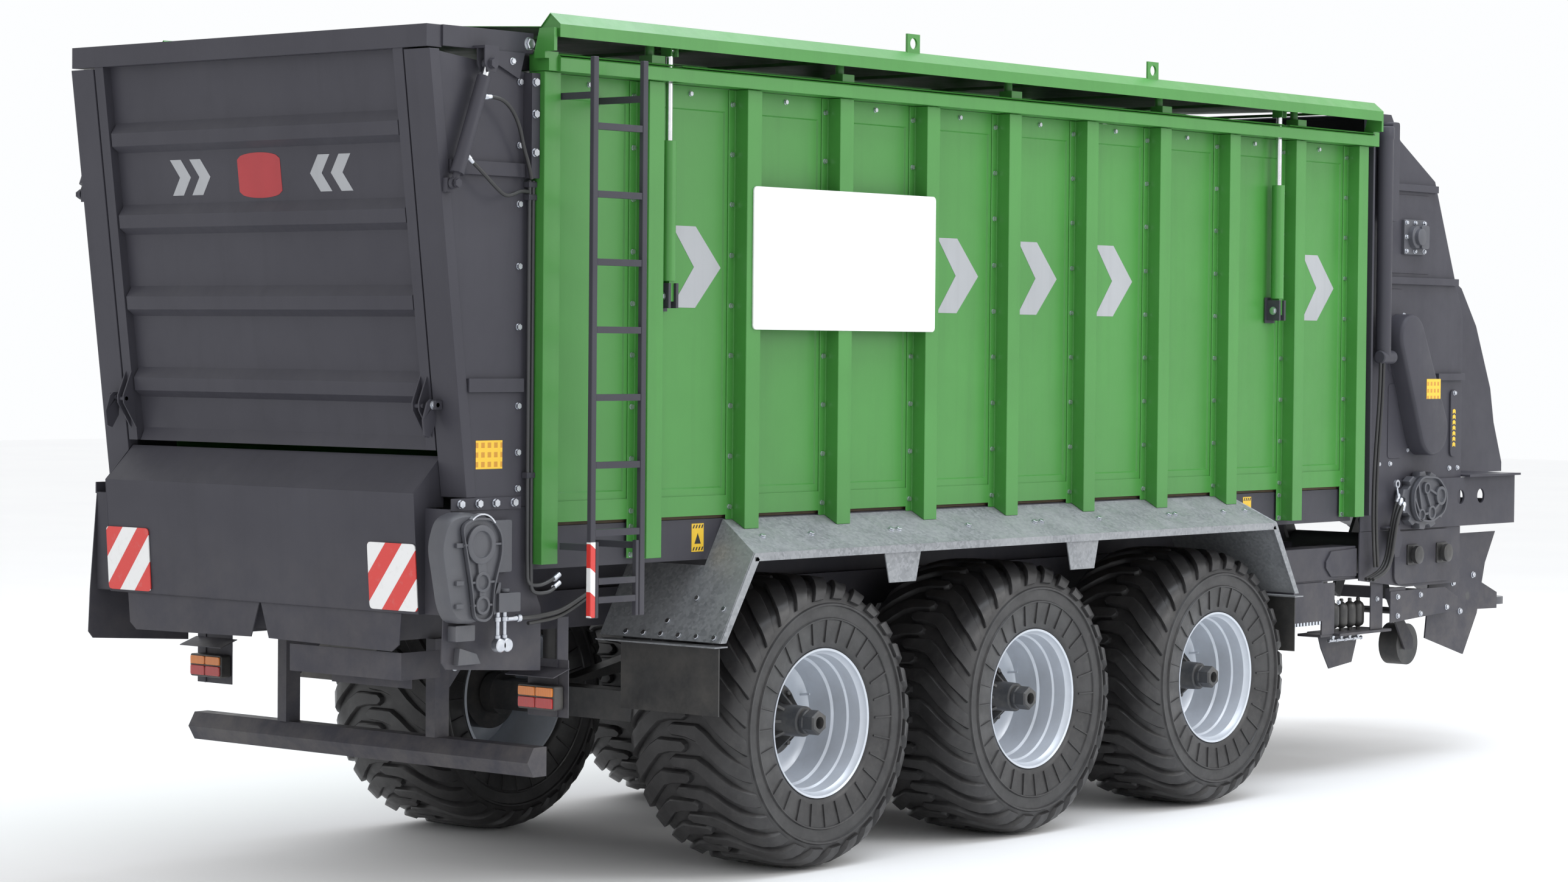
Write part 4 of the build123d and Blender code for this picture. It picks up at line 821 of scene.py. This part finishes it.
def scraper_drive():
    """Gear case of the scraper floor, its valve block and their fittings."""
    piece = Piece()
    shell = rounded([(-0.632, 1.600), (-0.590, 1.715), (-0.500, 1.745), (-0.380, 1.735), (-0.300, 1.640),
                     (-0.330, 1.300), (-0.400, 1.255), (-0.530, 1.262), (-0.575, 1.330), (-0.600, 1.450)],
                    0.05)
    middle = Vector((-0.450, 1.500))
    levels = ((-CHEEK_Y, 1.0), (-1.240, 1.0), (-1.262, 0.975), (-1.272, 0.93))
    piece.loft([[(middle.x + (x - middle.x) * share, y, middle.y + (z - middle.y) * share) for x, z in shell]
                for y, share in levels])
    front = rounded([(-0.520, 1.690), (-0.440, 1.722), (-0.330, 1.716), (-0.272, 1.650), (-0.268, 1.560),
                     (-0.320, 1.400), (-0.332, 1.285), (-0.372, 1.262), (-0.440, 1.275), (-0.462, 1.420)],
                    0.035)
    bosses = ((-0.400, 1.602, 0.086), (-0.391, 1.438, 0.046), (-0.390, 1.338, 0.042))
    ribs = (((-0.505, 1.602), (-0.475, 1.602), 0.010), ((-0.325, 1.602), (-0.272, 1.602), 0.010),
            ((-0.463, 1.438), (-0.430, 1.438), 0.010), ((-0.350, 1.438), (-0.310, 1.438), 0.010),
            ((-0.450, 1.338), (-0.425, 1.338), 0.010), ((-0.352, 1.338), (-0.330, 1.338), 0.010),
            ((-0.398, 1.525), (-0.392, 1.475), 0.050), ((-0.391, 1.400), (-0.390, 1.375), 0.040))
    casting(piece, front, -1.296, 0.030, bosses, ribs)
    for z in (1.602, 1.438, 1.338):
        piece.prism(rect(-0.545, -0.500, z - 0.010, z + 0.010), -1.286, -1.262)
    piece.prism(rounded(rect(-0.255, -0.140, 1.470, 1.700), 0.012), -1.222, -CHEEK_Y)
    piece.prism(rounded(rect(-0.505, -0.385, 1.180, 1.250), 0.008), -1.240, -CHEEK_Y)
    piece.prism([(-0.470, 1.075), (-0.330, 1.075), (-0.355, 1.120), (-0.460, 1.150)], -1.222, -CHEEK_Y)
    piece.done("scraper_gear_case", CAST, replaces=("scraper_gearbox",), bevel=0.002)
    motor = Piece()
    motor.prism(rounded(rect(-0.285, -0.150, 1.300, 1.384), 0.006), -1.287, -1.215)
    motor.rod((-0.218, -1.250, 1.384), (-0.218, -1.250, 1.402), 0.026)
    motor.prism([(-0.300, 1.360), (-0.270, 1.430), (-0.255, 1.430), (-0.270, 1.300), (-0.300, 1.290)],
                -1.270, -1.255)
    motor.done("valve_block", CAST, bevel=0.0015)
    strap = Piece()
    points = []
    for i in range(9):
        turn = math.radians(35 + i * 12)
        points.append((-0.400 + 0.098 * math.cos(turn), 1.640 + 0.098 * math.sin(turn)))
    inner = [(-0.400 + (x + 0.400) * 0.93, 1.640 + (z - 1.640) * 0.93) for x, z in reversed(points)]
    strap.prism(points + inner, -1.299, -1.274)
    for x in (-0.270, -0.227):
        strap.turned((x, -1.262, 1.310), (0, 0, -1), [(0, 0.011), (0.030, 0.011), (0.032, 0.016),
                                                      (0.050, 0.016), (0.052, 0.010), (0.110, 0.010),
                                                      (0.112, 0.014), (0.125, 0.014), (0.126, 0.006)], 20)
        strap.turned((x, -1.290, 1.155), (0, 1, 0), [(0, 0.026), (0.004, 0.030), (0.036, 0.030),
                                                     (0.040, 0.026)], 28)
        strap.bolt((x, -1.262, 1.318), (0, 0, -1), 0.026, 0.014, washer=False)
    strap.rod((-0.212, -1.262, 1.268), (-0.150, -1.262, 1.268), 0.012)
    strap.rod((-0.150, -1.262, 1.268), (-0.128, -1.262, 1.268), 0.018)
    strap.done("valve_fittings", ZINC)


def feed_drive():
    """Gear case of the feed rotor with its toothed flange."""
    piece = Piece()
    centre = Vector((7.735, 1.575))
    teeth = []
    for i in range(11):
        turn = FULL_TURN * i / 11
        for offset, reach in ((-0.20, 0.190), (-0.13, 0.222), (0.13, 0.222), (0.20, 0.190)):
            wide = 1.0 + 0.22 * abs(math.cos(turn))
            teeth.append((centre.x + reach * wide * math.cos(turn + offset),
                          centre.y + reach * 0.80 * math.sin(turn + offset)))
    piece.prism(teeth, -1.262, -CHEEK_Y - 0.014, edge=0.006)
    front = rounded([(7.540, 1.640), (7.640, 1.725), (7.840, 1.715), (7.950, 1.620), (7.925, 1.500),
                     (7.760, 1.440), (7.600, 1.455), (7.545, 1.530)], 0.05)
    bosses = ((7.870, 1.600, 0.058), (7.760, 1.500, 0.044), (7.640, 1.490, 0.038), (7.700, 1.650, 0.036))
    ribs = (((7.600, 1.680), (7.640, 1.530), 0.014), ((7.740, 1.640), (7.820, 1.610), 0.014),
            ((7.700, 1.615), (7.745, 1.540), 0.014), ((7.560, 1.590), (7.612, 1.512), 0.014),
            ((7.800, 1.520), (7.850, 1.550), 0.014), ((7.672, 1.492), (7.722, 1.498), 0.014))
    casting(piece, front, -1.300, 0.040, bosses, ribs)
    piece.done("feed_gear_case", CAST, replaces=("feed_gearbox",), bevel=0.002)


# ------------------------------------------------------------------ covers of the chain drive
def chain_guard():
    """Pressed chain cover, wide and round at both ends, with an eased rim and screws."""
    top, bottom = Vector((7.500, 2.560)), Vector((7.763, 2.010))
    heading = math.atan2(bottom.y - top.y, bottom.x - top.x)
    radii = (0.1385, 0.1635)

    def outline(shrink):
        points = []
        for centre, radius, start in ((bottom, radii[1], heading - HALF_TURN / 2),
                                      (top, radii[0], heading + HALF_TURN / 2)):
            for i in range(17):
                turn = start + HALF_TURN * i / 16
                points.append((centre.x + (radius - shrink) * math.cos(turn),
                               centre.y + (radius - shrink) * math.sin(turn)))
        return points
    piece = Piece()
    levels = ((-CHEEK_Y, 0.0), (-1.283, 0.0), (-1.297, 0.004), (-1.306, 0.013), (-1.3095, 0.027))
    piece.loft([[(x, y, z) for x, z in outline(shrink)] for y, shrink in levels])
    piece.prism(outline(-0.0012), -CHEEK_Y - 0.012, -CHEEK_Y)
    piece.done("chain_guard", GREY, replaces=("chain_cover",), angle=30)
    screws = Piece()
    for centre, radius in ((top, 0.155), (bottom, 0.180)):
        for turn in (heading - 2.2, heading - 1.2, heading + 1.2, heading + 2.2):
            place = (centre.x + radius * math.cos(turn), -CHEEK_Y, centre.y + radius * math.sin(turn))
            screws.bolt(place, OUTWARD, 0.018, 0.010)
    screws.done("chain_guard_screws", ZINC)


# ------------------------------------------------------------------ bolts
def fender_top(x, y):
    """A point on the right-hand fender's sloping top."""
    return (x, -y, 1.655 - 0.546 * (y - WALL_OUT))


def extra_bolts():
    """Bolts of the fenders, flaps, guard legs, intake plates and hinges that the frame leaves out."""
    piece = Piece()
    slope = (-1, 0, 0.59)
    for i in range(6):
        piece.bolt(fender_slope(-0.860 - i * 0.110, 1.120), slope, 0.026, 0.013)
    for y, z in ((-1.400, 1.250), (-1.215, 1.290), (-1.090, 1.180)):
        piece.bolt(fender_slope(y, z), slope, 0.026, 0.013)
    for x in (1.44, 1.80, 2.42, 2.48, 3.05, 3.62, 3.68, 4.20, 4.86, 4.92, 5.40, 5.62):
        piece.bolt(fender_top(x, 1.330), (0, -0.546, 1), 0.026, 0.012)
    for x in (7.53, 7.80, 8.12):
        piece.bolt((x, -1.198, 0.905 if x > 8 else 0.880), OUTWARD, 0.026, 0.014)
    for x in (7.53, 7.80):
        piece.bolt((x, -1.198, 0.995), OUTWARD, 0.026, 0.014)
    for x in (7.16, 7.30, 7.43, 8.14, 8.24):
        piece.bolt((x, -CHEEK_Y, 1.800 if x < 8 else 1.760), OUTWARD, 0.024, 0.013)
    for x, z in ((0.222, 0.990), (0.330, 1.085)):
        piece.bolt((x, -0.508, z), OUTWARD, 0.040, 0.022)
    for x in (6.9, 7.34):
        piece.bolt((x, -1.168, 0.99), OUTWARD, 0.022, 0.012)
    piece.mirror().done("plate_bolts", ZINC)
    piece = Piece()
    for x, z in ((8.42, 0.86), (8.58, 1.08), (8.33, 1.04)):
        piece.bolt((x, -1.120, z), OUTWARD, 0.030, 0.016)
    piece.mirror().done("pickup_plate_bolts", ZINC, "pickup")
    piece = Piece()
    for x in (0.860, 6.080):
        piece.bolt((x - 0.040, -1.235, 2.700), (-1, 0, 0), 0.034, 0.012)
        piece.bolt((x + 0.040, -1.235, 2.700), (1, 0, 0), 0.034, 0.012)
    piece.mirror().done("cylinder_foot_bolts", ZINC)


# ------------------------------------------------------------------ hoses, pipes and fittings
def to_side(route, side):
    """A right-hand route as it runs on a side: 1 for the right, -1 for the left."""
    return [(x, side * y, z) for x, y, z in route]


def lift_lines():
    """Hoses of the tailgate cylinder, and the corner pipes with their clips and end fittings."""
    for side_name, side in (("right", 1), ("left", -1)):
        upper = [(-0.352, -1.245, 3.545), (-0.300, -1.262, 3.552), (-0.220, -1.266, 3.520),
                 (-0.150, -1.258, 3.440), (-0.100, -1.240, 3.330), (-0.074, -1.246, 3.262),
                 (-0.062, -1.250, 3.200)]
        lower = [(-0.452, -1.245, 3.280), (-0.390, -1.262, 3.226), (-0.310, -1.268, 3.160),
                 (-0.240, -1.264, 3.118), (-0.170, -1.250, 3.132), (-0.110, -1.232, 3.150),
                 (-0.056, -1.224, 3.146)]
        for label_name, route in (("upper", upper), ("lower", lower)):
            line(f"lift_hose_{label_name}_{side_name}", to_side(route, side), 0.009)
        for index in range(2):
            x, foot = -0.038 + index * 0.024, 1.400 - index * 0.036
            route = [(x, -1.215, 3.196), (x, -1.215, 2.30), (x, -1.215, foot + 0.06),
                     (x + 0.008, -1.215, foot + 0.012), (x + 0.060, -1.215, foot),
                     (0.090 + index * 0.040, -1.215, foot + 0.008), (0.170, -1.206, foot + 0.040)]
            line(f"corner_pipe_{index + 1}_{side_name}", to_side(route, side), 0.009, DARK_STEEL)
    clips = Piece()
    for z in (3.166, 3.110, 1.880):
        clips.prism(rounded(rect(-1.226, -1.191, z, z + 0.026), 0.006), -0.052, 0.0, axis="x")
    clips.mirror().done("pipe_clips", GREY, replaces=("hydraulic_lines",), bevel=0.0015)
    ends = Piece()
    for (x, y, z), way in (((-0.352, -1.245, 3.545), (1, -0.3, 0.1)),
                           ((-0.452, -1.245, 3.280), (0.7, -0.2, -0.7))):
        ends.turned((x, y, z), way, [(-0.02, 0.013), (0.012, 0.013), (0.014, 0.0105), (0.032, 0.0105),
                                     (0.034, 0.009)], 16)
    for index in range(2):
        ends.rod((0.140, -1.209, 1.424 - index * 0.036), (0.182, -1.204, 1.444 - index * 0.036), 0.013, 16)
    ends.mirror().done("hose_ends", ZINC)


def motor_line():
    """A pair of hoses from the valve block forward under the body, ending free by the chassis."""
    route = [(-0.155, -1.262, 1.267), (-0.060, -1.250, 1.264), (0.045, -1.240, 1.269), (0.153, -1.240, 1.282),
             (0.248, -1.236, 1.317), (0.344, -1.222, 1.352), (0.430, -1.190, 1.372)]
    line("motor_hose", route, 0.0105)
    line("motor_hose_return", [(x, y + 0.004, z - 0.024) for x, y, z in route[1:]], 0.0085)


def front_lines():
    """Three feed hoses and two risers on each side, with ferrules."""
    for side_name, side in (("right", 1), ("left", -1)):
        for index in range(3):
            y = -1.232 - index * 0.024
            route = [(7.470 - index * 0.008, y, 1.610 - index * 0.024), (7.410 - index * 0.010, y, 1.500),
                     (7.370 - index * 0.012, y, 1.360), (7.335 - index * 0.010, y, 1.230), (7.250, y, 1.150),
                     (7.120, y + 0.010, 1.120)]
            line(f"feed_hose_{index + 1}_{side_name}", to_side(route, side), 0.011)
        tall = [(7.190, -1.262, 2.440), (7.185, -1.262, 2.250), (7.170, -1.258, 2.050),
                (7.150, -1.252, 1.800), (7.150, -1.246, 1.550), (7.160, -1.246, 1.330),
                (7.190, -1.240, 1.190)]
        for index in range(2):
            line(f"riser_hose_{index + 1}_{side_name}",
                 [(a + index * 0.030, side * (b - index * 0.004), c) for a, b, c in tall], 0.0095)
    piece = Piece()
    for index in range(3):
        y = -1.232 - index * 0.024
        start = Vector((7.474 - index * 0.008, y, 1.617 - index * 0.024))
        piece.turned(start, (-0.48, 0, -0.88), [(0, 0.010), (0.012, 0.015), (0.050, 0.015), (0.056, 0.012)],
                     18)
    piece.ring((7.420, -1.240, 1.680), OUTWARD, rect(0, 0.016, 0.014, 0.026), 24)
    piece.rod((7.423, -1.248, 1.656), (7.440, -1.248, 1.600), 0.007, 12)
    piece.mirror().done("feed_fittings", ZINC)


# ------------------------------------------------------------------ front unit
def front_details():
    """Cylinder, access panels, bearing flange, slotted plate and bosses of the intake unit's sides."""
    tube = Piece()
    tube.turned((7.235, -1.252, 2.430), (0, 0, 1), [(0, 0.040), (0.010, 0.046), (1.300, 0.046),
                                                    (1.312, 0.050), (1.372, 0.050), (1.380, 0.044)], 32)
    tube.rod((7.180, -1.258, 2.440), (7.330, -1.258, 2.440), 0.040)
    tube.prism(rounded(rect(7.300, 7.380, 3.250, 3.840), 0.02), -1.262, -1.192)
    tube.mirror().done("intake_cylinders", GREY, bevel=0.002)
    panels = Piece()
    for corners in (rect(7.405, 7.870, 2.945, 3.420),
                    [(7.395, 2.350), (7.455, 2.350), (7.560, 2.850), (7.395, 2.850)],
                    [(7.400, 1.830), (7.560, 1.830), (7.500, 2.280), (7.400, 2.280)]):
        panels.prism(rounded(corners, 0.03), -CHEEK_Y - 0.004, -CHEEK_Y, edge=0.002)
    panels.prism(rounded(rect(8.135, 8.215, 1.830, 2.240), 0.038), -CHEEK_Y - 0.012,
                 -CHEEK_Y, edge=0.002)
    panels.mirror().done("access_panels", GREY)
    strip = Piece()
    for i in range(7):
        z = 1.890 + i * 0.034
        strip.prism([(8.158, z), (8.175, z + 0.008), (8.192, z), (8.192, z + 0.022), (8.175, z + 0.030),
                     (8.158, z + 0.022)], -CHEEK_Y - 0.0135, -CHEEK_Y - 0.011)
    strip.mirror().done("level_strip", YELLOW_PLAIN)
    bearing = Piece()
    bearing.prism(rounded(rect(7.530, 7.780, 3.060, 3.270), 0.01), -1.214, -CHEEK_Y)
    bearing.turned((7.640, -1.214, 3.165), OUTWARD, [(-0.002, 0.070), (0.030, 0.066), (0.036, 0.052),
                                                     (0.060, 0.050), (0.064, 0.044)], 36)
    bearing.prism(rounded(rect(7.655, 7.745, 3.095, 3.235), 0.02), -1.262, -1.214)
    bearing.mirror().done("bearing_housings", CAST, bevel=0.002)
    bolts = Piece()
    for x, z in ((7.55, 3.08), (7.65, 3.08), (7.76, 3.08), (7.55, 3.25), (7.65, 3.25), (7.76, 3.25),
                 (7.55, 3.165), (8.175, 2.222)):
        bolts.bolt((x, -1.214 if x < 8 else -1.202, z), OUTWARD, 0.022, 0.014)
    bolts.mirror().done("bearing_bolts", ZINC)
    caps = Piece()
    for x in (7.680, 8.030):
        caps.prism(rounded(rect(x - 0.062, x + 0.062, 1.183, 1.307), 0.012), -1.216, -1.2045, edge=0.002)
        caps.turned((x, -1.214, 1.245), OUTWARD, [(0, 0.050), (0.008, 0.050), (0.010, 0.044),
                                                  (0.020, 0.044), (0.022, 0.054), (0.046, 0.054),
                                                  (0.050, 0.048), (0.0505, 0.020)], 40)
    caps.mirror().done("hub_cap_covers", BLACK, replaces=("hub_caps",))
    bracket = Piece()
    bracket.prism([(7.370, 1.420), (7.470, 1.430), (7.520, 1.340), (7.480, 1.240), (7.430, 1.240),
                   (7.400, 1.320)], -1.236, -1.226)
    bracket.prism([(7.330, 1.414), (7.480, 1.424), (7.480, 1.432), (7.330, 1.422)], -1.236, -1.192)
    bracket.mirror().done("hose_bracket", GREY, bevel=0.0015)


def accumulator_row():
    """Four round-shouldered gas bottles with their necks and tee fittings."""
    bottles, fittings = Piece(), Piece()
    for index in range(4):
        x = 6.985 + index * 0.095
        bottles.turned((x, -1.080, 0.806), (0, 0, 1), [
            (0.0, 0.012), (0.018, 0.012), (0.022, 0.020), (0.030, 0.031), (0.044, 0.0375), (0.062, 0.038),
            (0.128, 0.038), (0.146, 0.0365), (0.160, 0.030), (0.170, 0.018), (0.174, 0.012), (0.188, 0.012),
            (0.194, 0.009)], 36)
        fittings.bolt((x, -1.080, 0.790), (0, 0, -1), 0.028, 0.018, washer=False)
        fittings.rod((x, -1.080, 0.775), (x, -1.080, 0.748), 0.011, 16)
        fittings.rod((x - 0.030, -1.080, 0.755), (x + 0.030, -1.080, 0.755), 0.010, 16)
        fittings.bolt((x - 0.034, -1.080, 0.755), (-1, 0, 0), 0.022, 0.012, washer=False)
        fittings.bolt((x + 0.034, -1.080, 0.755), (1, 0, 0), 0.022, 0.012, washer=False)
    for index in range(9):
        fittings.bolt((6.420 + index * 0.034, -1.165, 0.890), (0, 0, -1), 0.020, 0.022, washer=False)
    bottles.mirror().done("gas_bottles", BLACK, replaces=("accumulators",), angle=50)
    fittings.mirror().done("bottle_fittings", ZINC)


# ------------------------------------------------------------------ lamps and rear small parts
def lamps():
    """Lamp clusters: a housing with a lip round each lens, and the ribbed lenses."""
    rim = Piece()
    reds, ambers = Piece(), Piece()
    for column in (-1.221, -1.112):
        for low, high, group in ((0.843, 0.890, reds), (0.896, 0.937, ambers)):
            outline = rounded(rect(column, column + 0.104, low, high), 0.008)
            middle = Vector((column + 0.052, (low + high) / 2))
            small = [tuple(middle + (Vector(p) - middle) * 0.93) for p in outline]
            group.loft([[(0.1305, y, z) for y, z in outline], [(0.124, y, z) for y, z in outline],
                        [(0.1205, y, z) for y, z in small]])
    rim.prism(rounded(rect(-1.229, -1.000, 0.835, 0.945), 0.014), 0.1285, 0.190, axis="x", edge=0.004)
    rim.mirror().done("lamp_bodies", BLACK, replaces=("lamp_housings",))
    reds.mirror().done("red_glass", RED_GLASS, replaces=("red_lenses",))
    ambers.mirror().done("amber_glass", AMBER_GLASS, replaces=("amber_lenses",))


def latch_details():
    """Bolts of the latch hooks, the tailgate's hinges and its arms."""
    for name, body, place, across, height in (
            ("latch_bolts", "latch_hooks", (lean_x(2.205, -0.030), -1.070, 2.205), 0.030, 0.014),
            ("hinge_bolts", "trailer", (-0.030, -1.196, 3.800), 0.044, 0.020),
            ("tailgate_arm_bolts", "tailgate", (-0.140, -1.204, 3.716), 0.024, 0.012)):
        Piece().bolt(place, OUTWARD, across, height).mirror().done(name, ZINC, body)


camera()
floor()
lights()
dress_cad_nodes()
wheels()
side_chevrons()
rear_films()
labels()
strips()
warning_boards()
scraper_drive()
feed_drive()
chain_guard()
extra_bolts()
lift_lines()
motor_line()
front_lines()
front_details()
accumulator_row()
lamps()
latch_details()
